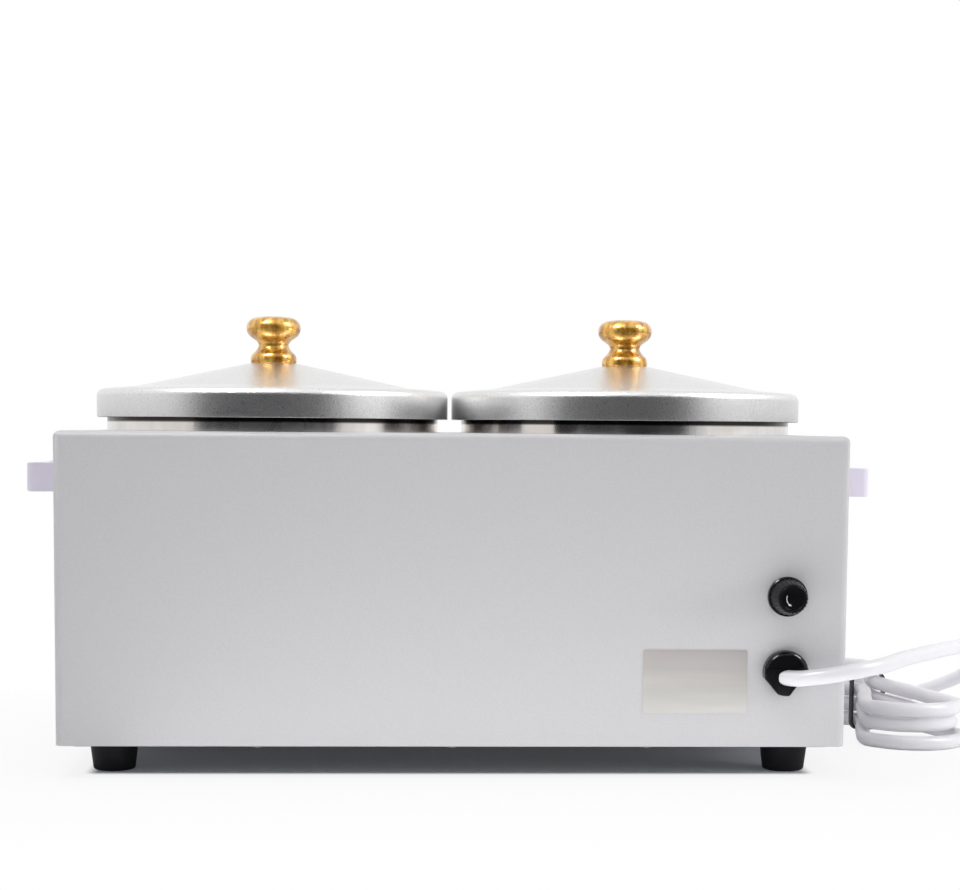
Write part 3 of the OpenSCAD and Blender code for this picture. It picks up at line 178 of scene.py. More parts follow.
def drawn_tube(name, line, radius, sides):
    """A round tube along the line, closed at both ends."""
    vertices, faces, side = [], [], None
    for i, p in enumerate(line):
        along = (line[min(i + 1, len(line) - 1)] - line[max(i - 1, 0)]).normalized()
        side = along.orthogonal() if side is None else side
        side = (side - side.dot(along) * along).normalized()
        other = along.cross(side)
        for k in range(sides):
            a = math.tau * k / sides
            vertices.append(p + radius * (math.cos(a) * side + math.sin(a) * other))
    for i in range(len(line) - 1):
        for k in range(sides):
            a, b = i * sides + k, i * sides + (k + 1) % sides
            faces.append((a, b, b + sides, a + sides))
    last = (len(line) - 1) * sides
    faces += [tuple(range(sides))[::-1], tuple(range(last, last + sides))]
    return piece_of(name, vertices, faces, 60)


def finish(name, colour, roughness, metallic=0.0, **sockets):
    """A material and its shader, ready for its pattern."""
    material = bpy.data.materials.new(name)
    material.use_nodes = True
    shader = material.node_tree.nodes["Principled BSDF"]
    shader.inputs["Base Color"].default_value = (*colour, 1)
    shader.inputs["Roughness"].default_value = roughness
    shader.inputs["Metallic"].default_value = metallic
    for socket, value in sockets.items():
        shader.inputs[socket.replace("_", " ")].default_value = value
    return material


def patterned(material, scale, low, high, detail=3, stretch=(1, 1, 1), rough=None, bump=None):
    """Clouds the material's colour from low to high and its roughness over rough, by a grain of that scale.
    bump is the scale of a finer grain and its height in metres."""
    nodes, links = material.node_tree.nodes, material.node_tree.links
    shader = nodes["Principled BSDF"]
    place, where = nodes.new("ShaderNodeMapping"), nodes.new("ShaderNodeTexCoord")
    place.inputs["Scale"].default_value = stretch
    cloud = nodes.new("ShaderNodeTexNoise")
    cloud.inputs["Scale"].default_value = scale
    cloud.inputs["Detail"].default_value = detail
    ramp = nodes.new("ShaderNodeValToRGB")
    ramp.color_ramp.elements[0].position = 0.35
    ramp.color_ramp.elements[1].position = 0.65
    ramp.color_ramp.elements[0].color = (*low, 1)
    ramp.color_ramp.elements[1].color = (*high, 1)
    links.new(where.outputs["Object"], place.inputs["Vector"])
    links.new(place.outputs["Vector"], cloud.inputs["Vector"])
    links.new(cloud.outputs["Fac"], ramp.inputs["Fac"])
    links.new(ramp.outputs["Color"], shader.inputs["Base Color"])
    if rough:
        spread = nodes.new("ShaderNodeMapRange")
        spread.inputs["From Min"].default_value = 0.3
        spread.inputs["From Max"].default_value = 0.7
        spread.inputs["To Min"].default_value, spread.inputs["To Max"].default_value = rough
        links.new(cloud.outputs["Fac"], spread.inputs["Value"])
        links.new(spread.outputs["Result"], shader.inputs["Roughness"])
    if bump:
        fine = nodes.new("ShaderNodeTexNoise")
        fine.inputs["Scale"].default_value = bump[0]
        fine.inputs["Detail"].default_value = 2
        height = nodes.new("ShaderNodeBump")
        height.inputs["Distance"].default_value = bump[1]
        links.new(place.outputs["Vector"], fine.inputs["Vector"])
        links.new(fine.outputs["Fac"], height.inputs["Height"])
        links.new(height.outputs["Normal"], shader.inputs["Normal"])
    return material


body_of = {node: body for body, nodes in frame["record"]["behaviour"]["bodies"].items() for node in nodes}


def settled(piece, *nodes):
    """Rides the piece on the body of the nodes that it stands for, and hides those nodes."""
    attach(piece, body_of[nodes[0]])
    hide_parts(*nodes)


def plain_mesh(piece):
    """Turns what the piece's modifiers make into its own mesh."""
    evaluated = piece.evaluated_get(bpy.context.evaluated_depsgraph_get())
    mesh = bpy.data.meshes.new_from_object(evaluated, preserve_all_data_layers=True,
                                           depsgraph=bpy.context.evaluated_depsgraph_get())
    piece.modifiers.clear()
    piece.data = mesh
    return piece


def as_built(material, sharp, **names):
    """Pieces in their CAD shape, joined into one skin with smooth bends: the piece's name = the node's."""
    for name, node in names.items():
        mesh = solids[node].data
        piece = piece_of(name, [v.co for v in mesh.vertices], [tuple(f.vertices) for f in mesh.polygons],
                         sharp, turn_out=False)
        piece.data.materials.append(material)
        even = piece.modifiers.new("even", "WEIGHTED_NORMAL")
        even.keep_sharp = True
        settled(plain_mesh(piece), node)


cord_white = patterned(finish("cord_white", (0.95, 0.94, 0.98), 0.34, Coat_Weight=0.15, Coat_Roughness=0.2),
                       60, (0.91, 0.90, 0.945), (0.94, 0.93, 0.955), rough=(0.3, 0.4), bump=(900, 0.00004))
cord_line = smooth_line(cord_points, 0.0024)
mains_cord = drawn_tube("mains_cord", cord_line, CORD_D / 2000, 18)
mains_cord.data.materials.append(cord_white)
settled(mains_cord, "cord", "cord_hank")
as_built(cord_white, 40, mains_plug="plug", cord_in_case="cord_inlet")
tie_black = patterned(finish("tie_black", (0.03, 0.03, 0.035), 0.35),
                      300, (0.02, 0.02, 0.025), (0.05, 0.05, 0.055), rough=(0.3, 0.5))
as_built(tie_black, 40, wire_tie="cord_tie")
contact_brass = patterned(finish("contact_brass", (0.78, 0.62, 0.28), 0.28, 1),
                          80, (0.74, 0.57, 0.25), (0.82, 0.66, 0.34), rough=(0.22, 0.36), bump=(1500, 0.00002))
as_built(contact_brass, 35, plug_pins="plug_blades", fuse_contacts="fuse_terminals",
         block_screws="terminal_screws")

# ---------------------------------------------------------------- floor and light
# A white studio floor and surround. A soft lamp hangs above, two boxes draw lines on what is polished, a low
# lamp lights the hank, and a card on the floor throws light up the back panel. The unlit room behind the
# camera darkens bright metal.
floor = piece_of("floor", [(-6, -6, 0), (6, -6, 0), (6, 6, 0), (-6, 6, 0)], [(0, 1, 2, 3)])
FLOOR_WHITE, FLOOR_SHADE = (0.90, 0.90, 0.91), (0.86, 0.89, 0.98)
UNDERSIDE, FOOTPRINT = (0.165, 0.076), (0.183, 0.093)
floor_white = finish("floor_white", FLOOR_WHITE, 0.9)
floor.data.materials.append(floor_white)
nodes, links = floor_white.node_tree.nodes, floor_white.node_tree.links


def outside(edge, near, far_off, low=0.0, high=1.0):
    """A floor mask that climbs from low to high as a point leaves the rectangle of half size edge by near
    to far_off."""
    where, size, beyond, clear, far = (nodes.new("ShaderNode" + kind) for kind in
                                       ("TexCoord", "VectorMath", "VectorMath", "VectorMath", "VectorMath"))
    size.operation, beyond.operation, clear.operation, far.operation = "ABSOLUTE", "SUBTRACT", "MAXIMUM", "LENGTH"
    beyond.inputs[1].default_value = (*edge, 0)
    away = nodes.new("ShaderNodeMapRange")
    away.interpolation_type = "SMOOTHSTEP"
    for socket, value in (("From Min", near), ("From Max", far_off), ("To Min", low), ("To Max", high)):
        away.inputs[socket].default_value = value
    links.new(where.outputs["Object"], size.inputs[0])
    links.new(size.outputs[0], beyond.inputs[0])
    links.new(beyond.outputs[0], clear.inputs[0])
    links.new(clear.outputs[0], far.inputs[0])
    links.new(far.outputs["Value"], away.inputs["Value"])
    return away.outputs["Result"]


def times(tree, a, b):
    share = tree.nodes.new("ShaderNodeMath")
    share.operation = "MULTIPLY"
    tree.links.new(a, share.inputs[0])
    tree.links.new(b, share.inputs[1])
    return share.outputs[0]


# The camera sees the floor plain white far from the warmer, nearly so round its footprint, where some shadow
# stays, and as it is under the case, where it is a little bluer. All other rays meet it as it is.
path, white, seen = (nodes.new("ShaderNode" + kind) for kind in ("LightPath", "Emission", "MixShader"))
under, lit = outside(UNDERSIDE, 0.0, 0.008), outside(UNDERSIDE, 0.0, 0.008, 0.045)
lit = times(floor_white.node_tree, lit, outside(FOOTPRINT, 0.02, 0.2, 0.86))
shade = nodes.new("ShaderNodeMix")
shade.data_type = "RGBA"
shade.inputs["A"].default_value = (*FLOOR_SHADE, 1)
shade.inputs["B"].default_value = (*FLOOR_WHITE, 1)
links.new(under, shade.inputs["Factor"])
links.new(shade.outputs["Result"], nodes["Principled BSDF"].inputs["Base Color"])
links.new(times(floor_white.node_tree, lit, path.outputs["Is Camera Ray"]), seen.inputs["Fac"])
links.new(nodes["Principled BSDF"].outputs[0], seen.inputs[1])
links.new(white.outputs[0], seen.inputs[2])
links.new(seen.outputs[0], nodes["Material Output"].inputs["Surface"])

# The surround is full white to the camera, in reflections and through glass, and dimmer as a light.
world = bpy.data.worlds.new("surround")
bpy.context.scene.world = world
world.use_nodes = True
nodes, links = world.node_tree.nodes, world.node_tree.links
path = nodes.new("ShaderNodeLightPath")
shown, also = nodes.new("ShaderNodeMath"), nodes.new("ShaderNodeMath")
shown.operation = also.operation = "ADD"
also.use_clamp = True
level = nodes.new("ShaderNodeMapRange")
level.inputs["To Min"].default_value = 0.42
level.inputs["To Max"].default_value = 1.0
links.new(path.outputs["Is Camera Ray"], shown.inputs[0])
links.new(path.outputs["Is Glossy Ray"], shown.inputs[1])
links.new(shown.outputs[0], also.inputs[0])
links.new(path.outputs["Is Transmission Ray"], also.inputs[1])
links.new(also.outputs[0], level.inputs["Value"])
links.new(level.outputs["Result"], nodes["Background"].inputs["Strength"])
nodes["Background"].inputs["Color"].default_value = (1, 1, 1, 1)


def lamp(name, at, towards, size, power):
    light = bpy.data.lights.new(name, "AREA")
    light.shape = "RECTANGLE"
    light.size, light.size_y = size
    light.energy = power
    stand = bpy.data.objects.new(name, light)
    aim = (Vector(towards) - Vector(at)).to_track_quat("-Z", "Y")
    stand.matrix_world = Matrix.Translation(at) @ aim.to_matrix().to_4x4()
    bpy.context.scene.collection.objects.link(stand)
    return stand


lamp_above = lamp("lamp_above", (0.3, 0.1, 1.5), (0.05, 0.05, 0.1), (1.5, 1.1), 12.5)
lamp_above.visible_glossy = False
for name, at in (("gloss_left", (0.45, 0.42, 1.05)), ("gloss_right", (-0.95, 0.3, 0.88))):
    lamp(name, at, (-0.1, 0.09, 0.06), (0.28, 0.45), 9).visible_diffuse = False
lamp_low_right = lamp("lamp_low_right", (-0.72, 0.2, 0.16), (-0.3, -0.02, 0.03), (0.3, 0.16), 1.15)
lamp_low_right.visible_glossy = False
low_card = lamp("low_card", (-0.02, 0.2, 0.004), (-0.02, 0.2, 1), (0.34, 0.2), 0.15)
low_card.visible_camera = False
low_card.visible_glossy = False
room_wall = [math.radians(a) for a in range(38, 135, 4)]
room_section = ((0.42, 0.006), (1.5, 0.012), (1.5, 1.2))
room = piece_of("dark_room",
                [(r * math.cos(a), r * math.sin(a), z) for a in room_wall for r, z in room_section],
                [(i + k, i + k + 1, i + k + 4, i + k + 3)
                 for i in range(0, 3 * len(room_wall) - 3, 3) for k in (0, 1)])
room.data.materials.append(finish("dark_room", (0.03, 0.03, 0.035), 0.9))
room.visible_camera = False
room.visible_diffuse = False
room.visible_shadow = False


# ---------------------------------------------------------------- the feet
# Four tapered feet of black rubber, moulded with a deep hole below that hides the screw's head. Each screw
# goes up through the base plate into a nut.
def turned(name, profile, foot, turn=Matrix.Identity(3), around=96, sharp=35):
    """A turned piece about the axis through foot. profile is a run of (radius, height, corner radius) in
    millimetres, which closes on itself, or on the axis where it starts there."""
    corners = [Vector((r, z)) for r, z, *_ in profile]
    on_axis = abs(corners[0].x) < 1e-6
    line = []
    for i, (r, z, *rest) in enumerate(profile):
        ease = rest[0] if rest else 0
        inner = 0 < i < len(profile) - 1 or not on_axis
        if not ease or not inner:
            line.append(corners[i])
            continue
        here, before, after = corners[i], corners[i - 1], corners[(i + 1) % len(corners)]
        to_a, to_b = (before - here).normalized(), (after - here).normalized()
        half = to_a.angle(to_b) / 2
        reach = ease / math.tan(half)
        middle = here + (to_a + to_b).normalized() * ease / math.sin(half)
        first, second = here + to_a * reach - middle, here + to_b * reach - middle
        swing = first.angle_signed(second)
        steps = max(2, round(abs(math.degrees(swing)) / 9))
        line += [middle + Matrix.Rotation(-swing * k / steps, 2) @ first for k in range(steps + 1)]
    rings, vertices, faces = [], [], []
    for p in line:
        if p.x < 1e-6:
            rings.append([len(vertices)])
            vertices.append(Vector((0, 0, p.y)))
        else:
            rings.append(list(range(len(vertices), len(vertices) + around)))
            vertices += [Vector((p.x * math.cos(math.tau * k / around), p.x * math.sin(math.tau * k / around), p.y))
                         for k in range(around)]
    pairs = list(zip(rings, rings[1:])) + ([] if on_axis else [(rings[-1], rings[0])])
    for a, b in pairs:
        for k in range(around):
            m = (k + 1) % around
            if len(a) > 1 and len(b) > 1:
                faces.append((a[k], a[m], b[m], b[k]))
            elif len(b) > 1:
                faces.append((a[0], b[m], b[k]))
            elif len(a) > 1:
                faces.append((a[k], a[m], b[0]))
    return piece_of(name, [(Vector(foot) + turn @ v) / 1000 for v in vertices], faces, sharp)


foot_rubber = patterned(finish("foot_rubber", (0.008, 0.008, 0.010), 0.55, Specular_IOR_Level=0.3),
                        90, (0.006, 0.006, 0.008), (0.012, 0.012, 0.014), rough=(0.45, 0.7), bump=(1400, 0.00008))
for end, y in (("front", -65), ("rear", 65)):
    for side, x in (("left", -159.5), ("right", 159.5)):
        foot = turned(f"{end}_{side}_foot", [
            (4.8, 0, 0.3), (9.75, 0, 1.5), (11.5, 14, 0.4), (2.2, 14), (2.2, 6), (4.8, 6)], (x, y, 0))
        foot.data.materials.append(foot_rubber)
        settled(foot, f"foot_{end}_{side}")

# ---------------------------------------------------------------- screws and nuts
# Zinc-plated steel screws of the base, feet, handles, knobs, thermostats and bands, and the feet's nuts.
# The end caps of the fuse have the same bright plating.
plated_steel = patterned(finish("plated_steel", (0.62, 0.62, 0.60), 0.3, 1),
                         140, (0.56, 0.56, 0.55), (0.68, 0.68, 0.66), rough=(0.24, 0.4), bump=(1800, 0.00002))
as_built(plated_steel, 35, plate_screws="base_screws", feet_screws="foot_screws", feet_nuts="foot_nuts",
         clamp_screws="band_screws", left_knob_screw="knob_screw_left", right_knob_screw="knob_screw_right",
         bracket_screws="handle_screws", control_screws="thermostat_screws", fuse_caps="fuse_ends")

# ---------------------------------------------------------------- the case
# A shell folded from sheet steel and powder coated off-white, open below, with a plate screwed under it, painted
# near black as painted shade, so that its edge shows as a dark band above the feet.
case_coat = patterned(finish("case_coat", (0.68, 0.672, 0.69), 0.45),
                      1400, (0.66, 0.654, 0.672), (0.70, 0.69, 0.708), rough=(0.40, 0.52), bump=(900, 0.00003))
as_built(case_coat, 50, case_shell="housing")
# Painted shade: the base plate is coloured near black to stand for the shade under the case.
plate_coat = patterned(finish("plate_coat", (0.07, 0.08, 0.11), 0.5),
                       60, (0.06, 0.07, 0.10), (0.09, 0.10, 0.13), rough=(0.44, 0.58), bump=(900, 0.00004))
as_built(plate_coat, 40, bottom_plate="base_plate")

# ---------------------------------------------------------------- the wells
# Spun aluminium cups whose polished collars stand out of the case's top, with a split heater band and a felt
# wrap round each cup. A dark ring of painted shade runs round each collar, just under the lid's rim.
def tinted_by_height(material, tint, *ramps, blend="MIX"):
    """Tints the material's pattern by height. Each ramp is the height where the tint starts and where it is
    full, in metres, and the tint shows as far as all of them let it."""
    tree = material.node_tree
    where, split, over = (tree.nodes.new("ShaderNode" + kind) for kind in ("TexCoord", "SeparateXYZ", "Mix"))
    over.data_type, over.blend_type = "RGBA", blend
    over.inputs["B"].default_value = (*tint, 1)
    tree.links.new(where.outputs["Object"], split.inputs[0])
    share = None
    for start, full in ramps:
        ramp = tree.nodes.new("ShaderNodeMapRange")
        ramp.inputs["From Min"].default_value, ramp.inputs["From Max"].default_value = start, full
        tree.links.new(split.outputs["Z"], ramp.inputs["Value"])
        share = times(tree, share, ramp.outputs["Result"]) if share else ramp.outputs["Result"]
    tree.links.new(share, over.inputs["Factor"])
    tree.links.new(tree.nodes["Color Ramp"].outputs["Color"], over.inputs["A"])
    tree.links.new(over.outputs["Result"], tree.nodes["Principled BSDF"].inputs["Base Color"])


well_polish = patterned(finish("well_polish", (0.78, 0.76, 0.74), 0.2, 1),
                        45, (0.66, 0.62, 0.58), (0.86, 0.85, 0.84), stretch=(1, 1, 0.2),
                        rough=(0.1, 0.3), bump=(70, 0.0003))
# Painted shade: each collar is coloured near black in a thin ring just under the lid's rim.
tinted_by_height(well_polish, (0.035, 0.030, 0.028), (0.1634, 0.1643), (0.1685, 0.1670))
as_built(well_polish, 40, left_well="well_left", right_well="well_right")
heater_steel = patterned(finish("heater_steel", (0.42, 0.42, 0.43), 0.4, 1),
                         30, (0.36, 0.35, 0.35), (0.48, 0.48, 0.49), rough=(0.32, 0.5), bump=(800, 0.00004))
as_built(heater_steel, 35, left_band="heater_band_left", right_band="heater_band_right")
felt = patterned(finish("felt", (0.86, 0.83, 0.76), 0.95, Sheen_Weight=0.4),
                 200, (0.80, 0.76, 0.68), (0.92, 0.90, 0.84), detail=6, bump=(1200, 0.0003))
as_built(felt, 45, left_felt="insulation_left", right_felt="insulation_right")

# ---------------------------------------------------------------- the pots
# Two deep spun aluminium cups with a rolled bead, which hang by their rims on the collars. They lift out to
# be filled and cleaned.
pot_spun = patterned(finish("pot_spun", (0.74, 0.74, 0.75), 0.3, 1),
                     30, (0.70, 0.70, 0.71), (0.78, 0.78, 0.79), stretch=(1, 1, 3),
                     rough=(0.25, 0.36), bump=(500, 0.00003))
as_built(pot_spun, 40, left_pot="pot_left", right_pot="pot_right")

# ---------------------------------------------------------------- the lids
# Pressed aluminium, blasted to a sand texture: a rim that hangs round the pot's bead, a rounded shoulder,
# a brim and a low cone with a turned knob on a screw.
lid_grain = patterned(finish("lid_grain", (0.75, 0.76, 0.77), 0.33, 1),
                      1900, (0.65, 0.65, 0.65), (0.81, 0.81, 0.81), detail=2,
                      rough=(0.27, 0.37), bump=(1700, 0.00011))
knob_wood = patterned(finish("knob_wood", (0.80, 0.44, 0.06), 0.24, 0.6, Coat_Weight=1.0, Coat_Roughness=0.05),
                      300, (0.46, 0.19, 0.012), (0.95, 0.55, 0.10), detail=6, stretch=(1, 1, 0.5),
                      rough=(0.2, 0.36), bump=(600, 0.00012))
SIDES = (("left", -88), ("right", 88))
LID_TOP = 193.3
for side, x in SIDES:
    lid = turned(f"{side}_lid", [
        (2.2, 192.1), (11.5, 192.1, 2), (67, 180.2, 6), (83.4, 178.4, 0), (85.8, 176, 0), (85.8, 166), (87, 166, 0.3),
        (87, 179.6, 3.6), (67, 181.4, 7), (11.5, LID_TOP, 2), (2.2, LID_TOP)], (x, 0, 0), around=180, sharp=50)
    lid.data.materials.append(lid_grain)
    settled(lid, f"lid_{side}")
    knob = turned(f"{side}_knob", [
        (0, 17), (2.1, 16), (2.1, 0), (11.3, 0, 0.4), (11.5, 1.2), (11.5, 2.4), (11.2, 3.6), (10.7, 4.5),
        (9.9, 5.2), (9.1, 6), (8.4, 6.9), (7.8, 7.8), (7.5, 8.7), (7.5, 9.5), (7.9, 10.4), (8.8, 11.3),
        (10.1, 12.2), (11.4, 13.1), (12.5, 14.3), (13.2, 15.7), (13.55, 17.2), (13.4, 18.7), (12.9, 20),
        (12, 21.2), (10.7, 22.1), (9, 22.7), (7, 23.05), (4, 23.2), (0, 23.2)], (x, 0, LID_TOP), sharp=60)
    knob.data.materials.append(knob_wood)
    settled(knob, f"lid_knob_{side}")

# ---------------------------------------------------------------- the handles
# A moulded bracket of pale lilac plastic on each end, with the soft sheen of its mould. It is screwed on from
# inside the case.
handle_plastic = patterned(finish("handle_plastic", (0.92, 0.87, 1.0), 0.32),
                           40, (0.90, 0.85, 0.99), (0.94, 0.89, 1.0), rough=(0.28, 0.38), bump=(700, 0.00004))
as_built(handle_plastic, 45, left_handle="handle_left", right_handle="handle_right")

# ---------------------------------------------------------------- the fuse
# A panel holder of black phenolic with a ribbed cap that screws in over a 5 by 20 mm glass fuse. The cord's
# bush below it is moulded of the same glossy black.
gloss_black = patterned(finish("gloss_black", (0.006, 0.006, 0.007), 0.08, Specular_IOR_Level=0.26),
                        120, (0.005, 0.005, 0.006), (0.008, 0.008, 0.009), rough=(0.05, 0.11), bump=(1500, 0.00002))
as_built(gloss_black, 40, fuse_socket="fuse_holder", cord_gland="cord_bush")
cap_black = patterned(finish("cap_black", (0.006, 0.006, 0.007), 0.2, Specular_IOR_Level=0.08),
                      120, (0.005, 0.005, 0.006), (0.009, 0.009, 0.010), rough=(0.14, 0.28), bump=(1500, 0.00002))


def new_tree(name, *inputs):
    """A Geometry Nodes tree with named inputs: each is (name, kind)."""
    tree = bpy.data.node_groups.new(name, "GeometryNodeTree")
    tree.interface.new_socket("Piece", in_out="INPUT", socket_type="NodeSocketGeometry")
    for title, kind in inputs:
        tree.interface.new_socket(title, in_out="INPUT", socket_type="NodeSocket" + kind)
    tree.interface.new_socket("Piece", in_out="OUTPUT", socket_type="NodeSocketGeometry")
    return tree, tree.nodes.new("NodeGroupInput").outputs, tree.nodes.new("NodeGroupOutput").inputs


def put(tree, kind, operation=None, **sockets):
    """A node of the tree. A socket, named with _ for a blank or numbered i0, i1, is given a value or another
    node's output."""
    node = tree.nodes.new(kind)
    if operation:
        node.operation = operation
    for title, value in sockets.items():
        socket = node.inputs[int(title[1:]) if title[0] == "i" and title[1:].isdigit() else title.replace("_", " ")]
        if isinstance(value, bpy.types.NodeSocket):
            tree.links.new(value, socket)
        else:
            socket.default_value = value
    return node.outputs[0]


def math_of(tree, operation, *values):
    return put(tree, "ShaderNodeMath", operation, **{f"i{k}": v for k, v in enumerate(values)})


def product(tree, *values):
    share = values[0]
    for value in values[1:]:
        share = math_of(tree, "MULTIPLY", share, value)
    return share


def set_round(tree, given, count, instance, angle):
    """Copies of the instance on a circle about the Y axis, each turned by its angle, round the tree's Middle."""
    place = put(tree, "ShaderNodeCombineXYZ", X=product(tree, given["Radius"], math_of(tree, "COSINE", angle)),
                Z=product(tree, given["Radius"], math_of(tree, "SINE", angle)))
    turn = put(tree, "ShaderNodeCombineXYZ", Y=product(tree, angle, -1.0))
    turn = put(tree, "FunctionNodeEulerToRotation", Euler=turn)
    points = put(tree, "GeometryNodePoints", Count=count, Position=place)
    copies = put(tree, "GeometryNodeInstanceOnPoints", Points=points, Instance=instance, Rotation=turn)
    return put(tree, "GeometryNodeTransform", Translation=given["Middle"],
               Geometry=put(tree, "GeometryNodeRealizeInstances", Geometry=copies))


def ends_in(tree, geometry, given, result):
    """Every tree's end: what it made, real, in the finish given."""
    real = put(tree, "GeometryNodeRealizeInstances", Geometry=geometry)
    tree.links.new(put(tree, "GeometryNodeSetMaterial", Geometry=real, Material=given["Finish"]), result[0])


def grown(piece, tree, **values):
    """Runs the tree on the piece, with its inputs set by identifier, and keeps the result as a plain mesh."""
    made = piece.modifiers.new(tree.name, "NODES")
    made.node_group = tree
    for socket in tree.interface.items_tree:
        if socket.in_out == "INPUT" and socket.name.replace(" ", "_") in values:
            made[socket.identifier] = values[socket.name.replace(" ", "_")]
    return plain_mesh(piece)


def smoothed(piece):
    piece.data.shade_smooth()
    piece.data.set_sharp_from_angle(angle=math.radians(40))


# The cap's ribs: one rod, leaned by the taper and set round the axis, which points to +Y.
rib_ring, given, result = new_tree("cap_ribs", ("Ribs", "Int"), ("Radius", "Float"), ("Length", "Float"),
                                   ("Thickness", "Float"), ("Lean", "Float"), ("Middle", "Vector"),
                                   ("Finish", "Material"))
rod = put(rib_ring, "GeometryNodeMeshCylinder", Vertices=10, Radius=given["Thickness"], Depth=given["Length"])
rod = put(rib_ring, "GeometryNodeTransform", Geometry=rod, Rotation=(-math.pi / 2, 0, 0))
lean = put(rib_ring, "ShaderNodeCombineXYZ", Z=given["Lean"])
rod = put(rib_ring, "GeometryNodeTransform", Geometry=rod, Rotation=lean)
whole_turn = product(rib_ring, put(rib_ring, "GeometryNodeInputIndex"), math.tau)
angle = math_of(rib_ring, "DIVIDE", whole_turn, given["Ribs"])
joined = rib_ring.nodes.new("GeometryNodeJoinGeometry")
rib_ring.links.new(given["Piece"], joined.inputs[0])
rib_ring.links.new(set_round(rib_ring, given, given["Ribs"], rod, angle), joined.inputs[0])
ends_in(rib_ring, joined.outputs[0], given, result)

FUSE_AT = Vector((-154.4, 93, 85.4))
TO_BACK, TO_FRONT = Matrix.Rotation(-math.pi / 2, 3, "X"), Matrix.Rotation(math.pi / 2, 3, "X")
CAP_R, CAP_END_R, CAP_BASE, CAP_OUT, CAP_DISH, RIB_STANDS = 8.7, 5.9, 2.7, 15.0, 0.5, 0.3
fuse_cap = turned("ribbed_fuse_cap", [
    (2.9, -15), (5.5, -15), (5.5, CAP_BASE), (CAP_R - RIB_STANDS, CAP_BASE, 0.3),
    (CAP_END_R + 1 - RIB_STANDS, CAP_OUT - 0.9, 0.7), (CAP_END_R, CAP_OUT, 0.5), (CAP_END_R - 0.6, CAP_OUT, 0.2),
    (CAP_END_R - 1, CAP_OUT - CAP_DISH, 0.1), (0, CAP_OUT - CAP_DISH), (0, 0), (2.9, 0)],
    FUSE_AT, TO_BACK, around=120)
cap_lean = math.atan2(CAP_R - CAP_END_R - 1, CAP_OUT - 1 - CAP_BASE)
rib_r, rib_out = 0.42, CAP_OUT - 1.3 - CAP_BASE
grown(fuse_cap, rib_ring, Ribs=24, Radius=((CAP_R + CAP_END_R + 1) / 2 - rib_r) / 1000,
      Length=rib_out / math.cos(cap_lean) / 1000, Thickness=rib_r / 1000, Lean=cap_lean, Finish=cap_black,
      Middle=(FUSE_AT + Vector((0, CAP_BASE + 0.2 + rib_out / 2, 0))) / 1000)
smoothed(fuse_cap)
settled(fuse_cap, "fuse_cap")

# A small printed arrow in the cap's dish shows which way it unscrews.
print_white = patterned(finish("print_white", (0.80, 0.80, 0.80), 0.5),
                        900, (0.70, 0.70, 0.70), (0.84, 0.84, 0.84), rough=(0.45, 0.6))
sweep = [math.radians(a) for a in range(160, 227, 6)]
arrow = [(3.9 + w, a) for w, run in ((0.17, sweep), (-0.17, sweep[::-1])) for a in run]
arrow[len(sweep):len(sweep)] = [(4.45, sweep[-1]), (3.85, math.radians(246)), (3.3, sweep[-1])]
arrow = [(FUSE_AT.x - 0.8 - r * math.cos(a), FUSE_AT.z + 0.2 + r * math.sin(a)) for r, a in arrow]
dish = FUSE_AT.y + CAP_OUT - CAP_DISH
count = len(arrow)
cap_arrow = piece_of("cap_arrow",
                     [Vector((x, y, z)) / 1000 for y in (dish - 0.02, dish + 0.05) for x, z in arrow],
                     [tuple(range(count)), tuple(range(count, 2 * count))]
                     + [(k, (k + 1) % count, count + (k + 1) % count, count + k) for k in range(count)])
cap_arrow.data.materials.append(print_white)
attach(cap_arrow, "fuse_cap")

black_plastic = patterned(finish("black_plastic", (0.02, 0.02, 0.02), 0.5),
                          120, (0.015, 0.015, 0.016), (0.03, 0.03, 0.03), rough=(0.4, 0.6), bump=(1200, 0.00004))
as_built(black_plastic, 35, lamp_locknuts="lamp_nuts", fuse_locknut="fuse_nut", gland_nut="cord_bush_nut")
fuse_glass = patterned(finish("fuse_glass", (0.92, 0.95, 0.95), 0.05, Transmission_Weight=0.9, IOR=1.45),
                       50, (0.90, 0.94, 0.94), (0.95, 0.97, 0.97))
as_built(fuse_glass, 40, fuse_tube="fuse_glass")

# ---------------------------------------------------------------- the dials
# Black moulded dials with fluted grips on steel shafts. Behind each is a thermostat, whose bulb lies under the
# well on a copper tube, and beside it a red pilot lamp in a chromed bezel.
dial_plastic = patterned(finish("dial_plastic", (0.025, 0.025, 0.025), 0.36),
                         100, (0.02, 0.02, 0.02), (0.035, 0.035, 0.035), rough=(0.3, 0.46), bump=(1000, 0.00004))
flute_ring, given, result = new_tree("dial_flutes", ("Flutes", "Int"), ("Depth", "Float"), ("Middle", "Vector"),
                                     ("Skirt Top", "Float"), ("Grip Radius", "Float"), ("Finish", "Material"))
from_axis = put(flute_ring, "ShaderNodeVectorMath", "SUBTRACT", i0=put(flute_ring, "GeometryNodeInputPosition"),
                i1=given["Middle"])
split = flute_ring.nodes.new("ShaderNodeSeparateXYZ")
flute_ring.links.new(from_axis, split.inputs[0])
x, y, z = split.outputs
radius = math_of(flute_ring, "ADD", product(flute_ring, x, x), product(flute_ring, z, z))
radius = math_of(flute_ring, "SQRT", radius)
wave = math_of(flute_ring, "COSINE", product(flute_ring, math_of(flute_ring, "ARCTAN2", z, x), given["Flutes"]))
scoop = math_of(flute_ring, "POWER", math_of(flute_ring, "MULTIPLY_ADD", wave, -0.5, 0.5), 1.6)
past_skirt = math_of(flute_ring, "GREATER_THAN", product(flute_ring, y, -1.0), given["Skirt Top"])
on_wall = math_of(flute_ring, "GREATER_THAN", radius, product(flute_ring, given["Grip Radius"], 0.86))
inward = product(flute_ring, scoop, past_skirt, on_wall, given["Depth"], -1.0)
inward = math_of(flute_ring, "DIVIDE", inward, radius)
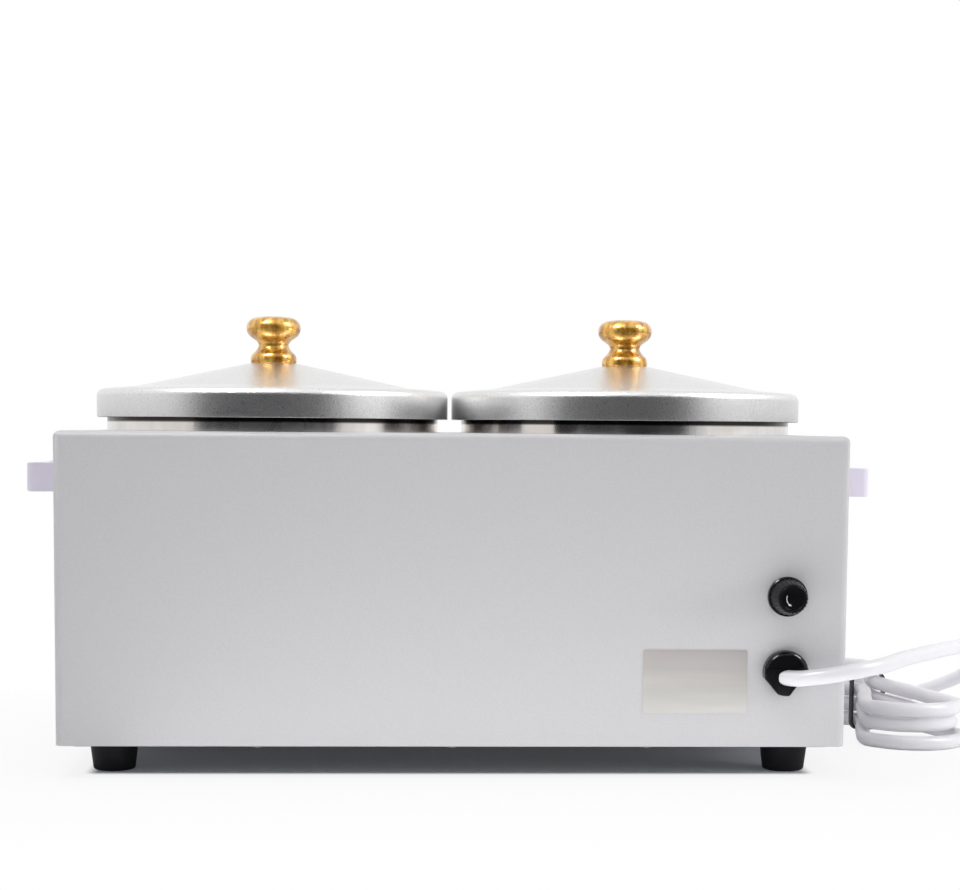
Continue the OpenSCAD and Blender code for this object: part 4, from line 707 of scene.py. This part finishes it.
shift = put(flute_ring, "ShaderNodeCombineXYZ", X=product(flute_ring, x, inward),
            Z=product(flute_ring, z, inward))
fluted = put(flute_ring, "GeometryNodeSetPosition", Geometry=given["Piece"], Offset=shift)
ends_in(flute_ring, fluted, given, result)

# Generic marks round each dial: short printed strokes on the case, and a white stroke on the dial's grip.
mark_arc, given, result = new_tree("dial_marks", ("Marks", "Int"), ("Radius", "Float"), ("First", "Float"),
                                   ("Step", "Float"), ("Stroke", "Vector"), ("Middle", "Vector"),
                                   ("Finish", "Material"))
stroke = put(mark_arc, "GeometryNodeMeshCube", Size=given["Stroke"])
angle = math_of(mark_arc, "MULTIPLY_ADD", put(mark_arc, "GeometryNodeInputIndex"), given["Step"], given["First"])
ends_in(mark_arc, set_round(mark_arc, given, given["Marks"], stroke, angle), given, result)

mark_ink = patterned(finish("mark_ink", (0.03, 0.03, 0.035), 0.5),
                     400, (0.025, 0.025, 0.03), (0.05, 0.05, 0.055), rough=(0.4, 0.6))
pointer_white = patterned(finish("pointer_white", (0.85, 0.85, 0.84), 0.45),
                          400, (0.80, 0.80, 0.79), (0.88, 0.88, 0.87), rough=(0.4, 0.55))
FRONT, DIAL_Z, DIAL_OUT, INK = -93, 50, 15, 0.03
for side, x in SIDES:
    dial = turned(f"{side}_dial", [
        (3.05, 0.3), (6, 0.3, 0.2), (6, 3.7, 0.3), (18.5, 2.7, 0.3), (18.5, 0.3, 0.2), (20, 0.3, 0.2), (20, 2.5, 0.5),
        (18.5, 3.3, 0.4), (17, 3.4), (15.4, 3.8, 1.2), (14.9, 6), (14.7, 10), (14.5, DIAL_OUT, 1.5), (9, DIAL_OUT),
        (8, 14.4, 0.3), (0, 14.4), (0, 12), (3.05, 12)], (x, FRONT, DIAL_Z), TO_FRONT, around=216, sharp=40)
    grown(dial, flute_ring, Flutes=18, Depth=0.0009, Skirt_Top=0.0042, Grip_Radius=0.0145,
          Middle=Vector((x, FRONT, DIAL_Z)) / 1000, Finish=dial_plastic)
    smoothed(dial)
    settled(dial, f"dial_{side}")
    scale_marks = grown(piece_of(f"{side}_scale", [(0, 0, 0)], []), mark_arc, Marks=11, Radius=0.0236,
                        First=math.radians(-60), Step=math.radians(30), Stroke=(0.0028, 0.00008, 0.0007),
                        Middle=Vector((x, FRONT - INK, DIAL_Z)) / 1000, Finish=mark_ink)
    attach(scale_marks, "warmer")
    pointer = grown(piece_of(f"{side}_pointer", [(0, 0, 0)], []), mark_arc, Marks=1, Radius=0.0115,
                    First=math.radians(90), Step=0.0, Stroke=(0.0050, 0.0001, 0.0014),
                    Middle=Vector((x, FRONT - DIAL_OUT + INK, DIAL_Z)) / 1000, Finish=pointer_white)
    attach(pointer, f"dial_{side}")

shaft_steel = patterned(finish("shaft_steel", (0.55, 0.55, 0.56), 0.3, 1),
                        200, (0.5, 0.5, 0.5), (0.6, 0.6, 0.61), stretch=(1, 8, 1), rough=(0.25, 0.4))
as_built(shaft_steel, 35, left_shaft="thermostat_shaft_left", right_shaft="thermostat_shaft_right")
steatite = patterned(finish("steatite", (0.72, 0.64, 0.52), 0.6),
                     60, (0.68, 0.60, 0.48), (0.76, 0.68, 0.56), rough=(0.5, 0.7), bump=(900, 0.00006))
as_built(steatite, 35, left_thermostat="thermostat_left", right_thermostat="thermostat_right")
copper = patterned(finish("copper", (0.72, 0.40, 0.26), 0.3, 1),
                   60, (0.62, 0.33, 0.20), (0.80, 0.46, 0.31), rough=(0.22, 0.4))
as_built(copper, 45, bulbs_and_tubes="thermostat_bulbs")
lamp_chrome = patterned(finish("lamp_chrome", (0.78, 0.78, 0.79), 0.1, 1),
                        80, (0.74, 0.74, 0.75), (0.82, 0.82, 0.83), rough=(0.06, 0.16))
as_built(lamp_chrome, 35, lamp_bezels="pilot_lamps")
lens_red = patterned(finish("lens_red", (0.55, 0.03, 0.01), 0.12, Transmission_Weight=0.35, IOR=1.49),
                     300, (0.45, 0.02, 0.01), (0.65, 0.05, 0.02), bump=(900, 0.0002))
as_built(lens_red, 40, left_lens="pilot_lens_left", right_lens="pilot_lens_right")

# ---------------------------------------------------------------- the wiring
# A terminal block on the base plate, and PVC leads from it to the fuse, the thermostats and the heaters:
# brown for the supply and ivory for the heaters.
block_plastic = patterned(finish("block_plastic", (0.85, 0.82, 0.74), 0.5),
                          50, (0.82, 0.79, 0.70), (0.88, 0.85, 0.78), rough=(0.42, 0.58), bump=(900, 0.00005))
as_built(block_plastic, 35, connector_block="terminal_block")
lead_brown = patterned(finish("lead_brown", (0.22, 0.09, 0.04), 0.4),
                       90, (0.19, 0.075, 0.03), (0.26, 0.11, 0.05), rough=(0.34, 0.48))
as_built(lead_brown, 50, brown_leads="supply_leads")
lead_ivory = patterned(finish("lead_ivory", (0.84, 0.80, 0.66), 0.4),
                       90, (0.80, 0.76, 0.62), (0.88, 0.84, 0.71), rough=(0.34, 0.5))
as_built(lead_ivory, 50, ivory_leads="heater_leads")

# ---------------------------------------------------------------- the plate
# A thin blank plate of satin metal foil, stuck on the back beside the bush. Its upper part is painted a little
# darker and pinker than its foot, as painted shade.
plate_satin = patterned(finish("plate_satin", (0.64, 0.63, 0.60), 0.4, 0.15),
                        30, (0.70, 0.69, 0.655), (0.78, 0.77, 0.735), stretch=(0.3, 1, 4),
                        rough=(0.32, 0.46), bump=(1500, 0.00002))
# Painted shade: the plate's colour is multiplied darker and pinker towards its top.
tinted_by_height(plate_satin, (0.72, 0.68, 0.70), (0.036, 0.060), blend="MULTIPLY")
as_built(plate_satin, 35, blank_plate="rating_plate")
